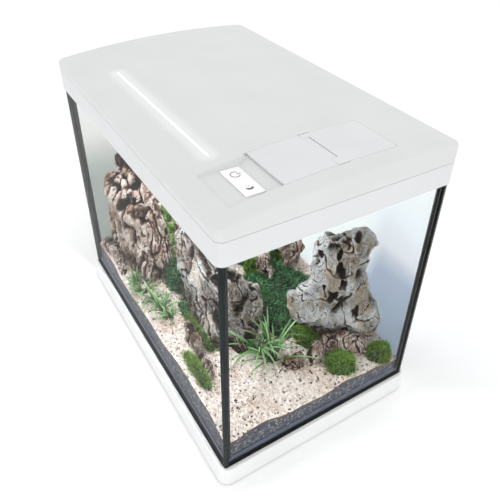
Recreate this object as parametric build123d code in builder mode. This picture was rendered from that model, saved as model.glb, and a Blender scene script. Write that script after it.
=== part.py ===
# Aquarium on a low white base, with a hinged light hood and a feeding flap.
# Millimetres, +Z up. The origin is on the surface the feet stand on, under the
# middle of the tank. -Y is the long front pane, +Y the hinge side, +X the end
# that carries the feeding flap and the light control.
import os
from math import cos, hypot, radians, sin, sqrt

from build123d import *

os.makedirs("parts", exist_ok=True)

# ---- glass tank -------------------------------------------------------------
tank_length = 400.0        # outside of the end panes, along X
tank_depth = 250.0         # outside of the front and back panes, along Y
glass_height = 287.0       # height of the side panes
glass_wall = 4.0
glass_floor = 5.0
ground_corner = 2.0        # flat ground on the tank's outer vertical corners
glue_film = 0.6            # silicone between two panes
corner_bead = 5.5          # leg of the silicone bead in each inner corner
floor_bead = 3.0           # leg of the silicone bead round the floor

# ---- base -------------------------------------------------------------------
foot_proud = 1.5           # feet below the base's rim
foot_radius = 9.0
foot_thickness = 3.0
foot_bevel = 0.6
base_height = 26.0
base_overhang = 5.0        # base beyond the glass, each side
base_corner = 12.0
base_wall = 2.6
base_top_thickness = 3.6
base_edge_round = 2.0
post_size = 24.0           # corner posts that carry the feet
rib_height = 5.0
rib_thickness = 2.0
mat_thickness = 1.8        # black foam mat under the glass
mat_recess = 0.6           # how deep the mat sits in the base
slip = 0.4                 # general clearance of a part that drops in or over

# ---- lid frame --------------------------------------------------------------
frame_height = 23.5
frame_rise = 11.3          # frame above the glass: web, rim and cable inlet
frame_lap = frame_height - frame_rise   # how far the frame hangs down over the glass
lid_overhang = 2.4         # frame and hood beyond the glass, each side
lid_corner = 8.5
frame_ledge = 3.0          # web that sits on the glass
frame_rim = 3.0            # wall above the web
lip_thickness = 2.0        # inner leg of the frame, inside the glass
lip_drop = 8.0
seam_gap = 0.4             # line between frame and hood

# ---- hood -------------------------------------------------------------------
hood_front = -tank_depth / 2 - lid_overhang   # the hood's front, left and right edges
hood_left = -tank_length / 2 - lid_overhang
hood_right = tank_length / 2 + lid_overhang
hood_front_rise = 10.6     # front top edge above the hood's lower edge
hood_middle_rise = 22.1    # on the arch at arch_middle_y
hood_back_rise = 18.6
arch_middle_y = hood_front + 132.4
hood_wall = 2.5
hood_skin = 2.5
hood_edge_round = 3.0
hood_front_roll = 8.0      # the arch rolls over towards the front edge
hood_roll_end = 35.0       # degrees off upright where the roll meets the front
hood_lip_thickness = 1.6
hood_lip_drop = 4.0

# ---- hood hinges ------------------------------------------------------------
hinge_x = 110.0            # middle of each hinge, left and right
hinge_pin_radius = 1.2
hinge_knuckle_radius = 2.4
hinge_knuckle_length = 10.0
hinge_side_knuckle = 8.0
hinge_side_gap = 0.3
hinge_behind = 0.2         # pivot behind the hood's back face
hinge_boss_depth = 8.4
hinge_boss_margin = 2.0
running_fit = 0.05         # radial clearance of a pin that turns
hinge_room = 0.4           # room round a knuckle
buffer_x = hood_right - 42.4   # soft buffers between hood and frame
buffer_length = 10.0
buffer_width = 2.0

# ---- feeding flap -----------------------------------------------------------
flap_left = hood_right - 80.4
flap_width = 60.0
flap_front = hood_front + 72.4
flap_pivot_y = hood_front + 132.1
deck_back = hood_front + 192.4   # back end of the fixed plate behind the flap
deck_corner = 4.0
flap_thickness = 2.2
flap_gap = 0.25            # gap round the flap and the deck's ears
flap_edge_round = 0.6      # under a fingertip
flap_ear_left = 7.5        # length of the deck's pin ears along X
flap_ear_right = 11.0
flap_ear_reach = 5.6       # ears in front of the pin
seat_skin = 2.5            # hood skin left under the flap
flap_knuckle_radius = 1.4
flap_pin_radius = 0.6
flap_room = 0.35
feed_hole_length = 44.0    # along X
feed_hole_front = hood_front + 81.4
feed_hole_back = hood_front + 121.4
relief_length = 11.0
relief_width = 0.7

# ---- light control ----------------------------------------------------------
recess_left = hood_right - 74.6   # at the floor
recess_front = hood_front + 21.4
recess_back = hood_front + 73.8   # back wall, under the flap's front edge
recess_back_foot = hood_front + 61.4   # where the sloping back wall meets the floor
recess_back_lip = 2.8      # top of the back wall below the hood's surface
recess_floor_drop = 10.2    # recess floor below the arch at arch_middle_y
recess_corner = 2.0
recess_draft = 0.55        # how far the left wall leans in per height
key_length = 44.6
key_width = 18.4
key_x = hood_right - 50.4
key_y = hood_front + 50.7
key_proud = 1.2
key_thickness = 4.0
key_gap = 0.35
key_corner = 1.2
key_edge_round = 0.5
key_pin_radius = 1.0
control_wall = 1.5
control_depth = 8.8
board_thickness = 1.2
switch_size = 5.0
switch_height = 2.2
switch_offset = 15.0
switch_air = 0.9           # free travel over each switch
key_post_length = 4.0
key_post_thickness = 2.0
key_rib_length = 3.0       # ribs that press the switches
key_rib_width = 6.0
control_margin = 4.0       # control box beyond the key, each side

# ---- light bar --------------------------------------------------------------
bar_left = hood_left + 82.4
bar_right = hood_right - 90.4
bar_y = hood_front + 43.4
bar_width = 30.0
bar_wall = 1.5
bar_bottom_gap = 1.1       # light bar above the frame's top
bar_height = 11.0
led_board_thickness = 1.6
led_pitch = 13.0
led_rows = 2
led_row_pitch = 9.0
led_length = 3.5
led_width = 2.8
led_height = 0.8
diffuser_thickness = 1.8
cap_thickness = 3.0
cap_tab = 9.0
screw_radius = 1.25
screw_head_radius = 2.6
screw_head_height = 1.8
screw_boss_radius = 3.6
screw_grip = 5.0           # screw length in the hood's boss
screw_pilot_depth = 6.0
screw_socket_radius = 1.2
screw_socket_depth = 1.0
glow_left = bar_left + 6.3
glow_right = bar_right - 5.0
glow_width = 3.4
glow_fit = 0.1

# ---- cable inlet ------------------------------------------------------------
inlet_x = hood_right - 52.4
inlet_radius = 2.2
grommet_wall = 1.0
grommet_flange = 1.0

# ---- planted bed and stones -------------------------------------------------
soil_top = 25.3            # above the glass floor's underside
gravel_depth = 8.0
bed_gap = 0.8              # bed to glass
layout_half_length = 196.0   # the bed that the stones and plants are laid out for
layout_half_depth = 121.0
stone_corners = 9
pebble_corners = 7
pebble_taper = 0.5         # top of a small stone to its foot
moss_corner_share = 0.8    # of the cushion's smaller half size
grass_corners = 8
grass_flare = 6.0          # degrees

# ---- levels and half sizes that follow --------------------------------------
base_top = foot_proud + base_height
mat_bottom = base_top - mat_recess
glass_bottom = mat_bottom + mat_thickness
floor_top = glass_bottom + glass_floor
glass_top = glass_bottom + glass_height
frame_bottom = glass_top - frame_lap
frame_top = frame_bottom + frame_height
hood_bottom = frame_top + seam_gap
ledge_top = glass_top + frame_ledge

half_length = tank_length / 2
half_depth = tank_depth / 2
inner_half_length = half_length - glass_wall
inner_half_depth = half_depth - glass_wall
lid_half_length = half_length + lid_overhang
lid_half_depth = half_depth + lid_overhang
lid_length = 2 * lid_half_length
lid_depth = 2 * lid_half_depth
base_length = tank_length + 2 * base_overhang
base_depth = tank_depth + 2 * base_overhang

# ---- the arch of the hood's top ---------------------------------------------
def circle_through(a, b, c):
    """Centre and radius of the circle through three (y, z) points."""
    turn = 2 * (a[0] * (b[1] - c[1]) + b[0] * (c[1] - a[1]) + c[0] * (a[1] - b[1]))
    squares = [p[0] ** 2 + p[1] ** 2 for p in (a, b, c)]
    y = (squares[0] * (b[1] - c[1]) + squares[1] * (c[1] - a[1]) + squares[2] * (a[1] - b[1])) / turn
    z = (squares[0] * (c[0] - b[0]) + squares[1] * (a[0] - c[0]) + squares[2] * (b[0] - a[0])) / turn
    return (y, z), hypot(a[0] - y, a[1] - z)


crown_centre, crown_radius = circle_through(
    (-lid_half_depth, hood_bottom + hood_front_rise),
    (arch_middle_y, hood_bottom + hood_middle_rise),
    (lid_half_depth, hood_bottom + hood_back_rise),
)


def crown_z(y, inset=0.0):
    """Height of the arched top at y, or of a surface a given depth under it."""
    return crown_centre[1] + sqrt((crown_radius - inset) ** 2 - (y - crown_centre[0]) ** 2)


def crown_arc(y_from, y_to, inset):
    """The three points of an arc that follows the top."""
    return [(y, crown_z(y, inset)) for y in (y_from, (y_from + y_to) / 2, y_to)]


def crown_block(x_from, x_to, y_from, y_to, inset, bottom):
    """Solid under the arched top, down to a level."""
    with BuildPart() as block:
        with BuildSketch(Plane.YZ.offset(x_from)):
            with BuildLine():
                ThreePointArc(*crown_arc(y_from, y_to, inset))
                Polyline(
                    (y_to, crown_z(y_to, inset)),
                    (y_to, bottom),
                    (y_from, bottom),
                    (y_from, crown_z(y_from, inset)),
                )
            make_face()
        extrude(amount=x_to - x_from)
    return block.part


def crown_plate(x_from, x_to, y_from, y_to, inset_top, inset_bottom, back_corner=0.0):
    """Plate that follows the arched top between two depths."""
    with BuildPart() as plate:
        with BuildSketch(Plane.YZ.offset(x_from)):
            with BuildLine():
                ThreePointArc(*crown_arc(y_from, y_to, inset_top))
                Line((y_to, crown_z(y_to, inset_top)), (y_to, crown_z(y_to, inset_bottom)))
                ThreePointArc(*crown_arc(y_to, y_from, inset_bottom))
                Line((y_from, crown_z(y_from, inset_bottom)), (y_from, crown_z(y_from, inset_top)))
            make_face()
        extrude(amount=x_to - x_from)
        if back_corner:
            upright = plate.edges().filter_by(Axis.Z, tolerance=0.1).group_by(Axis.Y)[-1]
            fillet(upright, radius=back_corner)
    return plate.part


def rod_x(x_from, x_to, y, z, radius):
    """Round bar along X."""
    with BuildPart() as rod:
        with BuildSketch(Plane.YZ.offset(x_from)):
            with Locations((y, z)):
                Circle(radius)
        extrude(amount=x_to - x_from)
    return rod.part


def block(x_from, x_to, y_from, y_to, z_from, z_to):
    """Plain box between two corners."""
    with BuildPart() as box:
        with BuildSketch(Plane.XY.offset(z_from)):
            with Locations(((x_from + x_to) / 2, (y_from + y_to) / 2)):
                Rectangle(x_to - x_from, y_to - y_from)
        extrude(amount=z_to - z_from)
    return box.part


# =============================================================================
# Base, feet and mat
# =============================================================================
post_x = base_length / 2 - base_wall - post_size / 2
post_y = base_depth / 2 - base_wall - post_size / 2
foot_spots = [(sx * post_x, sy * post_y) for sx in (-1, 1) for sy in (-1, 1)]
under_top = base_top - base_top_thickness

with BuildPart() as plinth:
    with BuildSketch(Plane.XY.offset(foot_proud)):
        RectangleRounded(base_length, base_depth, base_corner)
    extrude(amount=base_height)
    fillet(plinth.faces().sort_by(Axis.Z)[-1].edges(), radius=base_edge_round)
    with BuildSketch(Plane.XY.offset(foot_proud)):
        RectangleRounded(base_length - 2 * base_wall, base_depth - 2 * base_wall, base_corner - base_wall)
        with Locations(*foot_spots):
            Rectangle(post_size, post_size, mode=Mode.SUBTRACT)
    extrude(amount=under_top - foot_proud, mode=Mode.SUBTRACT)
    # low stiffening ribs under the top
    with BuildSketch(Plane.XY.offset(under_top - rib_height)):
        with GridLocations(tank_length / 4, 0, 3, 1):
            Rectangle(rib_thickness, base_depth - 2 * base_wall)
        with GridLocations(0, tank_depth / 3, 1, 2):
            Rectangle(base_length - 2 * base_wall, rib_thickness)
    extrude(amount=rib_height)
    # shallow seat for the mat
    with BuildSketch(Plane.XY.offset(mat_bottom)):
        Rectangle(tank_length + 2 * slip, tank_depth + 2 * slip)
    extrude(amount=mat_recess, mode=Mode.SUBTRACT)
    # pockets for the feet
    with BuildSketch(Plane.XY.offset(foot_proud)):
        with Locations(*foot_spots):
            Circle(foot_radius + slip / 2)
    extrude(amount=foot_thickness - foot_proud, mode=Mode.SUBTRACT)
plinth.part.label = "plinth"
export_step(plinth.part, "parts/plinth.step")

with BuildPart() as rubber_feet:
    with BuildSketch(Plane.XY):
        with Locations(*foot_spots):
            Circle(foot_radius)
    extrude(amount=foot_thickness)
    chamfer(rubber_feet.edges().group_by(Axis.Z)[0], length=foot_bevel)
rubber_feet.part.label = "rubber_feet"
export_step(rubber_feet.part, "parts/rubber_feet.step")

with BuildPart() as foam_mat:
    with BuildSketch(Plane.XY.offset(mat_bottom)):
        Rectangle(tank_length, tank_depth)
    extrude(amount=mat_thickness)
    chamfer(foam_mat.edges().filter_by(Axis.Z), length=ground_corner)
foam_mat.part.label = "foam_mat"
export_step(foam_mat.part, "parts/foam_mat.step")

# =============================================================================
# Glass panes and their silicone
# =============================================================================
end_pane_half = inner_half_depth - glue_film
floor_half_length = inner_half_length - glue_film


def long_pane(side):
    """Front (side -1) or back (side +1) pane, full length, outer corners ground."""
    middle = side * (half_depth - glass_wall / 2)
    with BuildPart() as pane:
        with BuildSketch(Plane.XY.offset(glass_bottom)):
            with Locations((0, middle)):
                Rectangle(tank_length, glass_wall)
        extrude(amount=glass_height)
        outer = pane.edges().filter_by(Axis.Z).group_by(Axis.Y)[0 if side < 0 else -1]
        chamfer(outer, length=ground_corner)
    return pane


def end_pane(side):
    """Left (side -1) or right (side +1) pane, between the long ones."""
    middle = side * (half_length - glass_wall / 2)
    with BuildPart() as pane:
        with BuildSketch(Plane.XY.offset(glass_bottom)):
            with Locations((middle, 0)):
                Rectangle(glass_wall, 2 * end_pane_half)
        extrude(amount=glass_height)
    return pane


front_glass = long_pane(-1)
front_glass.part.label = "front_glass"
export_step(front_glass.part, "parts/front_glass.step")

back_glass = long_pane(1)
back_glass.part.label = "back_glass"
export_step(back_glass.part, "parts/back_glass.step")

left_glass = end_pane(-1)
left_glass.part.label = "left_glass"
export_step(left_glass.part, "parts/left_glass.step")

right_glass = end_pane(1)
right_glass.part.label = "right_glass"
export_step(right_glass.part, "parts/right_glass.step")

with BuildPart() as floor_glass:
    with BuildSketch(Plane.XY.offset(glass_bottom)):
        Rectangle(2 * floor_half_length, 2 * end_pane_half)
    extrude(amount=glass_floor)
floor_glass.part.label = "floor_glass"
export_step(floor_glass.part, "parts/floor_glass.step")

with BuildPart() as corner_silicone:
    with BuildSketch(Plane.XY.offset(glass_bottom)):
        with GridLocations(tank_length - glass_wall, 2 * inner_half_depth - glue_film, 2, 2):
            Rectangle(glass_wall, glue_film)
    extrude(amount=glass_height)
    for sx in (-1, 1):
        for sy in (-1, 1):
            corner_x = sx * inner_half_length
            corner_y = sy * inner_half_depth
            with BuildSketch(Plane.XY.offset(floor_top)):
                with BuildLine():
                    Polyline(
                        (corner_x, corner_y),
                        (corner_x - sx * corner_bead, corner_y),
                        (corner_x, corner_y - sy * corner_bead),
                        close=True,
                    )
                make_face()
            extrude(amount=glass_top - floor_top)
corner_silicone.part.label = "corner_silicone"
export_step(corner_silicone.part, "parts/corner_silicone.step")

bead_length = 2 * (inner_half_length - corner_bead)
bead_depth = 2 * (inner_half_depth - corner_bead)
with BuildPart() as floor_silicone:
    with BuildSketch(Plane.XY.offset(glass_bottom)):
        Rectangle(2 * inner_half_length, 2 * inner_half_depth)
        Rectangle(2 * floor_half_length, 2 * end_pane_half, mode=Mode.SUBTRACT)
    extrude(amount=glass_floor)
    for side in (-1, 1):
        with BuildSketch(Plane.YZ.offset(-bead_length / 2)):
            with BuildLine():
                Polyline(
                    (side * inner_half_depth, floor_top),
                    (side * (inner_half_depth - floor_bead), floor_top),
                    (side * inner_half_depth, floor_top + floor_bead),
                    close=True,
                )
            make_face()
        extrude(amount=bead_length)
        with BuildSketch(Plane.XZ.offset(-bead_depth / 2)):
            with BuildLine():
                Polyline(
                    (side * inner_half_length, floor_top),
                    (side * (inner_half_length - floor_bead), floor_top),
                    (side * inner_half_length, floor_top + floor_bead),
                    close=True,
                )
            make_face()
        extrude(amount=bead_depth)
floor_silicone.part.label = "floor_silicone"
export_step(floor_silicone.part, "parts/floor_silicone.step")

# =============================================================================
# Soil, gravel, stones and plants
# =============================================================================
bed_length = 2 * (inner_half_length - bed_gap)
bed_depth = 2 * (inner_half_depth - bed_gap)
soil_level = glass_bottom + soil_top
gravel_level = soil_level + gravel_depth
spread_x = inner_half_length / layout_half_length
spread_y = inner_half_depth / layout_half_depth

with BuildPart() as soil_bed:
    with BuildSketch(Plane.XY.offset(floor_top)):
        Rectangle(bed_length, bed_depth)
    extrude(amount=soil_level - floor_top)
    chamfer(soil_bed.edges().filter_by(Axis.Z), length=corner_bead)
    chamfer(soil_bed.faces().sort_by(Axis.Z)[0].edges(), length=floor_bead)
soil_bed.part.label = "soil_bed"
export_step(soil_bed.part, "parts/soil_bed.step")

with BuildPart() as gravel_bed:
    with BuildSketch(Plane.XY.offset(soil_level)):
        Rectangle(bed_length, bed_depth)
    extrude(amount=gravel_depth)
    chamfer(gravel_bed.edges().filter_by(Axis.Z), length=corner_bead)
    chamfer(gravel_bed.faces().sort_by(Axis.Z)[-1].edges(), length=floor_bead)
gravel_bed.part.label = "gravel_bed"
export_step(gravel_bed.part, "parts/gravel_bed.step")


def stone(sections, corners=stone_corners):
    """Upright stone on the gravel: faceted rings of (height, x, y, half length, half width, turn)."""
    with BuildPart() as body:
        for height, x, y, half_long, half_wide, turn in sections:
            ring = []
            for step in range(corners):
                angle = radians(360 * step / corners)
                along = half_long * cos(angle)
                across = half_wide * sin(angle)
                ring.append((
                    spread_x * (x + along * cos(radians(turn)) - across * sin(radians(turn))),
                    spread_y * (y + along * sin(radians(turn)) + across * cos(radians(turn))),
                ))
            with BuildSketch(Plane.XY.offset(gravel_level + height)):
                with BuildLine():
                    Polyline(*ring, close=True)
                make_face()
        loft(ruled=True)
    return body


stone_left = stone([
    (0, -127, -70, 60, 30, 8),
    (88, -140, -66, 46, 26, 6),
    (168, -158, -60, 30, 20, 4),
    (222, -164, -56, 18, 12, 0),
])
stone_left.part.label = "stone_left"
export_step(stone_left.part, "parts/stone_left.step")

stone_middle = stone([
    (0, 38, -48, 84, 22, -7),
    (44, 22, -46, 62, 17, -7),
    (78, -6, -44, 32, 11, -5),
])
stone_middle.part.label = "stone_middle"
export_step(stone_middle.part, "parts/stone_middle.step")

stone_right = stone([
    (0, 108, 77, 48, 27, 44),
    (68, 110, 78, 45, 26, 44),
    (118, 116, 86, 31, 19, 40),
    (138, 125, 95, 16, 10, 30),
])
stone_right.part.label = "stone_right"
export_step(stone_right.part, "parts/stone_right.step")

# x, y, half length, half width, height, turn
small_stone_sizes = [
    (-14, 56, 20, 14, 36, 30),
    (-12, 98, 24, 13, 28, 20),
    (154, 58, 20, 9, 32, 60),
    (146, 16, 15, 8, 30, 70),
    (76, -90, 30, 7, 26, -10),
    (-132, -112, 24, 6, 30, 0),
]
with BuildPart() as small_stones:
    for x, y, half_long, half_wide, height, turn in small_stone_sizes:
        foot = (0, x, y, half_long, half_wide, turn)
        top = (height, x, y, pebble_taper * half_long, pebble_taper * half_wide, turn)
        pebble = stone([foot, top], pebble_corners)
        add(pebble.part)
small_stones.part.label = "small_stones"
export_step(small_stones.part, "parts/small_stones.step")

# x, y, half length, half width, height
moss_sizes = [
    (176, 36, 12, 14, 20),
    (180, 92, 11, 15, 24),
    (94, -108, 28, 7, 16),
    (28, -84, 16, 7, 16),
    (-57, -48, 8, 12, 30),
    (44, 26, 30, 22, 22),
    (104, 18, 16, 10, 14),
    (-42, 88, 6, 10, 40),
]
with BuildPart() as moss_cushions:
    for x, y, half_long, half_wide, height in moss_sizes:
        with BuildSketch(Plane.XY.offset(gravel_level)):
            with Locations((spread_x * x, spread_y * y)):
                cushion_x = spread_x * half_long
                cushion_y = spread_y * half_wide
                RectangleRounded(2 * cushion_x, 2 * cushion_y, moss_corner_share * min(cushion_x, cushion_y))
        extrude(amount=height)
moss_cushions.part.label = "moss_cushions"
export_step(moss_cushions.part, "parts/moss_cushions.step")

# x, y, radius, height
grass_sizes = [
    (-70, -108, 6, 34),
    (-18, -100, 9, 36),
    (128, -20, 12, 50),
]
with BuildPart() as grass_tufts:
    for x, y, radius, height in grass_sizes:
        with BuildSketch(Plane.XY.offset(gravel_level)):
            with Locations((spread_x * x, spread_y * y)):
                RegularPolygon(radius * min(spread_x, spread_y), grass_corners)
        extrude(amount=height, taper=-grass_flare)
grass_tufts.part.label = "grass_tufts"
export_step(grass_tufts.part, "parts/grass_tufts.step")

# =============================================================================
# Lid frame: a channel that drops over the top edge of the glass
# =============================================================================
lip_outer_x = inner_half_length - glue_film
lip_outer_y = inner_half_depth - glue_film
mouth_half_x = lip_outer_x - lip_thickness
mouth_half_y = lip_outer_y - lip_thickness
hinge_y = lid_half_depth + hinge_behind
hinge_z = frame_top + seam_gap / 2
hinge_spots = (-hinge_x, hinge_x)
half_knuckle = hinge_knuckle_length / 2
side_knuckle_start = half_knuckle + hinge_side_gap
hinge_end = side_knuckle_start + hinge_side_knuckle
inlet_z = (ledge_top + frame_top) / 2
grommet_radius = inlet_radius + grommet_wall
boss_front = lid_half_depth - hinge_boss_depth


def lug(x_from, x_to, side):
    """Hinge knuckle with its web, up into the hood (side 1) or down the frame (side -1)."""
    reach = hinge_y + hinge_knuckle_radius
    with BuildPart() as ear:
        with BuildSketch(Plane.YZ.offset(x_from)):
            with BuildLine():
                Polyline(
                    (boss_front + frame_rim, hinge_z),
                    (reach, hinge_z),
                    (reach, hinge_z + side * hinge_knuckle_radius),
                    (lid_half_depth, hinge_z + side * 3 * hinge_knuckle_radius),
                    (boss_front + frame_rim, hinge_z + side * 3 * hinge_knuckle_radius),
                    close=True,
                )
            make_face()
            with Locations((hinge_y, hinge_z)):
                Circle(hinge_knuckle_radius)
        extrude(amount=x_to - x_from)
    return ear.part


frame_lugs = [lug(x - half_knuckle, x + half_knuckle, -1) for x in hinge_spots]
hood_lugs = [lug(x + a, x + b, 1) for x in hinge_spots
             for a, b in ((-hinge_end, -side_knuckle_start), (side_knuckle_start, hinge_end))]
knuckle_room = hinge_knuckle_radius + hinge_room
notch_end = hinge_end + hinge_side_gap
frame_notches = [rod_x(x + a, x + b, hinge_y, hinge_z, knuckle_room) for x in hinge_spots
                 for a, b in ((-notch_end, -half_knuckle), (half_knuckle, notch_end))]
hood_notches = [rod_x(x - side_knuckle_start, x + side_knuckle_start, hinge_y, hinge_z, knuckle_room)
                for x in hinge_spots]
frame_pin_bores = [rod_x(x - half_knuckle, x + half_knuckle, hinge_y, hinge_z, hinge_pin_radius)
                   for x in hinge_spots]
hood_pin_bores = [rod_x(x - hinge_end, x + hinge_end, hinge_y, hinge_z, hinge_pin_radius + running_fit)
                  for x in hinge_spots]
boss_half = hinge_end + hinge_boss_margin

with BuildPart() as lid_frame:
    with BuildSketch(Plane.XY.offset(frame_bottom)):
        RectangleRounded(lid_length, lid_depth, lid_corner)
    extrude(amount=frame_height)
    # room for the glass, leaving the outer skirt
    with BuildSketch(Plane.XY.offset(frame_bottom)) as glass_room:
        Rectangle(tank_length + slip, tank_depth + slip)
        chamfer(glass_room.vertices(), length=ground_corner)
    extrude(amount=frame_lap, mode=Mode.SUBTRACT)
    # inner lip beside the panes
    with BuildSketch(Plane.XY.offset(glass_top - lip_drop)) as lip_ring:
        Rectangle(2 * lip_outer_x, 2 * lip_outer_y)
        chamfer(lip_ring.vertices(), length=corner_bead + slip)
    extrude(amount=lip_drop)
    with BuildSketch(Plane.XY.offset(frame_bottom)):
        RectangleRounded(2 * mouth_half_x, 2 * mouth_half_y, corner_bead)
    extrude(amount=frame_height, mode=Mode.SUBTRACT)
    # upper rim
    with BuildSketch(Plane.XY.offset(ledge_top)):
        RectangleRounded(lid_length - 2 * frame_rim, lid_depth - 2 * frame_rim, lid_corner - frame_rim)
        for x in hinge_spots:
            with Locations((x, (boss_front + lid_half_depth) / 2)):
                Rectangle(2 * boss_half, hinge_boss_depth, mode=Mode.SUBTRACT)
    extrude(amount=frame_top - ledge_top, mode=Mode.SUBTRACT)
    for notch in frame_notches:
        add(notch, mode=Mode.SUBTRACT)
    for ear in frame_lugs:
        add(ear)
    for bore in frame_pin_bores:
        add(bore, mode=Mode.SUBTRACT)
    # hole for the cable inlet
    with BuildSketch(Plane.XZ.offset(-lid_half_depth - grommet_flange)):
        with Locations((inlet_x, inlet_z)):
            Circle(grommet_radius)
    extrude(amount=frame_rim + 2 * grommet_flange, mode=Mode.SUBTRACT)
lid_frame.part.label = "lid_frame"
export_step(lid_frame.part, "parts/lid_frame.step")

with BuildPart() as hinge_pins:
    for x in hinge_spots:
        add(rod_x(x - hinge_end, x + hinge_end, hinge_y, hinge_z, hinge_pin_radius))
hinge_pins.part.label = "hinge_pins"
export_step(hinge_pins.part, "parts/hinge_pins.step")

with BuildPart() as cable_grommet:
    with BuildSketch(Plane.XZ.offset(-lid_half_depth)):
        with Locations((inlet_x, inlet_z)):
            Circle(grommet_radius)
    extrude(amount=frame_rim)
    for start in (-lid_half_depth - grommet_flange, -lid_half_depth + frame_rim):
        with BuildSketch(Plane.XZ.offset(start)):
            with Locations((inlet_x, inlet_z)):
                Circle(grommet_radius + grommet_wall / 2)
        extrude(amount=grommet_flange)
    with BuildSketch(Plane.XZ.offset(-lid_half_depth - grommet_flange)):
        with Locations((inlet_x, inlet_z)):
            Circle(inlet_radius)
    extrude(amount=frame_rim + 2 * grommet_flange, mode=Mode.SUBTRACT)
cable_grommet.part.label = "cable_grommet"
export_step(cable_grommet.part, "parts/cable_grommet.step")

buffer_y = lid_half_depth - frame_rim / 2
with BuildPart() as hood_buffers:
    with BuildSketch(Plane.XY.offset(frame_top)):
        with GridLocations(2 * buffer_x, 2 * buffer_y, 2, 2):
            SlotOverall(buffer_length, buffer_width)
    extrude(amount=seam_gap)
hood_buffers.part.label = "hood_buffers"
export_step(hood_buffers.part, "parts/hood_buffers.step")

# =============================================================================
# Hood: arched shell, with its recess, flap seat and light slot
# =============================================================================
flap_right = flap_left + flap_width
recess_right = flap_right
recess_floor = crown_z(arch_middle_y) - recess_floor_drop
seat_depth = flap_thickness + slip / 4
seat_left = flap_left - flap_gap
seat_right = flap_right + flap_gap
flap_pivot_z = crown_z(flap_pivot_y) - flap_knuckle_radius
deck_front = flap_pivot_y + flap_knuckle_radius + flap_room
inner_skin = seat_depth + seat_skin
pad_margin = 2.5
above = 5.0                # tool solids stand this far above the surface

bar_bottom = frame_top + bar_bottom_gap
bar_top = bar_bottom + bar_height
control_floor = recess_floor - hood_skin - control_depth
control_half_x = key_length / 2 + control_margin
control_half_y = key_width / 2 + control_margin
cap_outer_left = bar_left - cap_thickness - cap_tab
cap_outer_right = bar_right + cap_thickness + cap_tab
screw_spots = [(x, bar_y + side * bar_width / 4)
               for x in (cap_outer_left + cap_tab / 2, cap_outer_right - cap_tab / 2) for side in (-1, 1)]

roll_y = hood_front + hood_front_roll * cos(radians(hood_roll_end))
roll_z = crown_z(roll_y, hood_front_roll)
roll_reach = crown_radius / (crown_radius - hood_front_roll)
roll_start = (
    crown_centre[0] + (roll_y - crown_centre[0]) * roll_reach,
    crown_centre[1] + (roll_z - crown_centre[1]) * roll_reach,
)
roll_foot = (hood_front, roll_z + hood_front_roll * sin(radians(hood_roll_end)))
roll_turn = radians(45 + hood_roll_end / 2)
roll_middle = (roll_y - hood_front_roll * cos(roll_turn), roll_z + hood_front_roll * sin(roll_turn))
with BuildPart() as hood_block:
    with BuildSketch(Plane.YZ.offset(-lid_half_length)):
        with BuildLine():
            ThreePointArc(*crown_arc(roll_start[0], lid_half_depth, 0))
            ThreePointArc(roll_start, roll_middle, roll_foot)
            Polyline(
                roll_foot,
                (hood_front, hood_bottom),
                (lid_half_depth, hood_bottom),
                (lid_half_depth, crown_z(lid_half_depth)),
            )
        make_face()
    extrude(amount=lid_length)
cavity_block = crown_block(
    hood_wall - lid_half_length,
    lid_half_length - hood_wall,
    hood_wall - lid_half_depth,
    lid_half_depth - hood_wall,
    hood_skin,
    hood_bottom - above,
)
recess_shell = block(
    recess_left - recess_draft * recess_floor_drop - hood_wall,
    recess_right + hood_wall,
    recess_front - hood_wall,
    recess_back + hood_wall,
    recess_floor - hood_skin,
    crown_z(arch_middle_y) + above,
)
flap_pad = crown_plate(
    seat_left - pad_margin,
    seat_right + pad_margin,
    recess_back,
    deck_back + pad_margin,
    0,
    inner_skin,
)
flap_seat = crown_plate(
    seat_left,
    seat_right,
    recess_back - above,
    deck_back + slip / 2,
    -above,
    seat_depth,
    deck_corner,
)
tongue_left = flap_left + flap_ear_left
tongue_right = flap_right - flap_ear_right
pivot_groove = rod_x(tongue_left, tongue_right, flap_pivot_y, flap_pivot_z, flap_knuckle_radius + flap_room)
feed_hole = block(
    (flap_left + flap_right - feed_hole_length) / 2,
    (flap_left + flap_right + feed_hole_length) / 2,
    feed_hole_front,
    feed_hole_back,
    hood_bottom,
    crown_z(arch_middle_y) + above,
)

recess_rise = recess_floor_drop + above
with BuildPart() as recess_tool:
    with BuildSketch(Plane.XZ.offset(-recess_back)):
        with BuildLine():
            Polyline(
                (recess_left, recess_floor),
                (recess_right, recess_floor),
                (recess_right, recess_floor + recess_rise),
                (recess_left - recess_draft * recess_rise, recess_floor + recess_rise),
                close=True,
            )
        make_face()
    extrude(amount=recess_back - recess_front)
    fillet(recess_tool.edges().group_by(Axis.Y)[0].filter_by(Axis.X, reverse=True), radius=recess_corner)
    # the back wall slopes up towards the flap
    with BuildSketch(Plane.YZ.offset(recess_left - recess_rise)):
        with BuildLine():
            Polyline(
                (recess_front, recess_floor),
                (recess_back_foot, recess_floor),
                (recess_back, crown_z(recess_back) - recess_back_lip),
                (recess_back, recess_floor + recess_rise),
                (recess_front, recess_floor + recess_rise),
                close=True,
            )
        make_face()
    extrude(amount=recess_right - recess_left + 2 * recess_rise, mode=Mode.INTERSECT)

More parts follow.
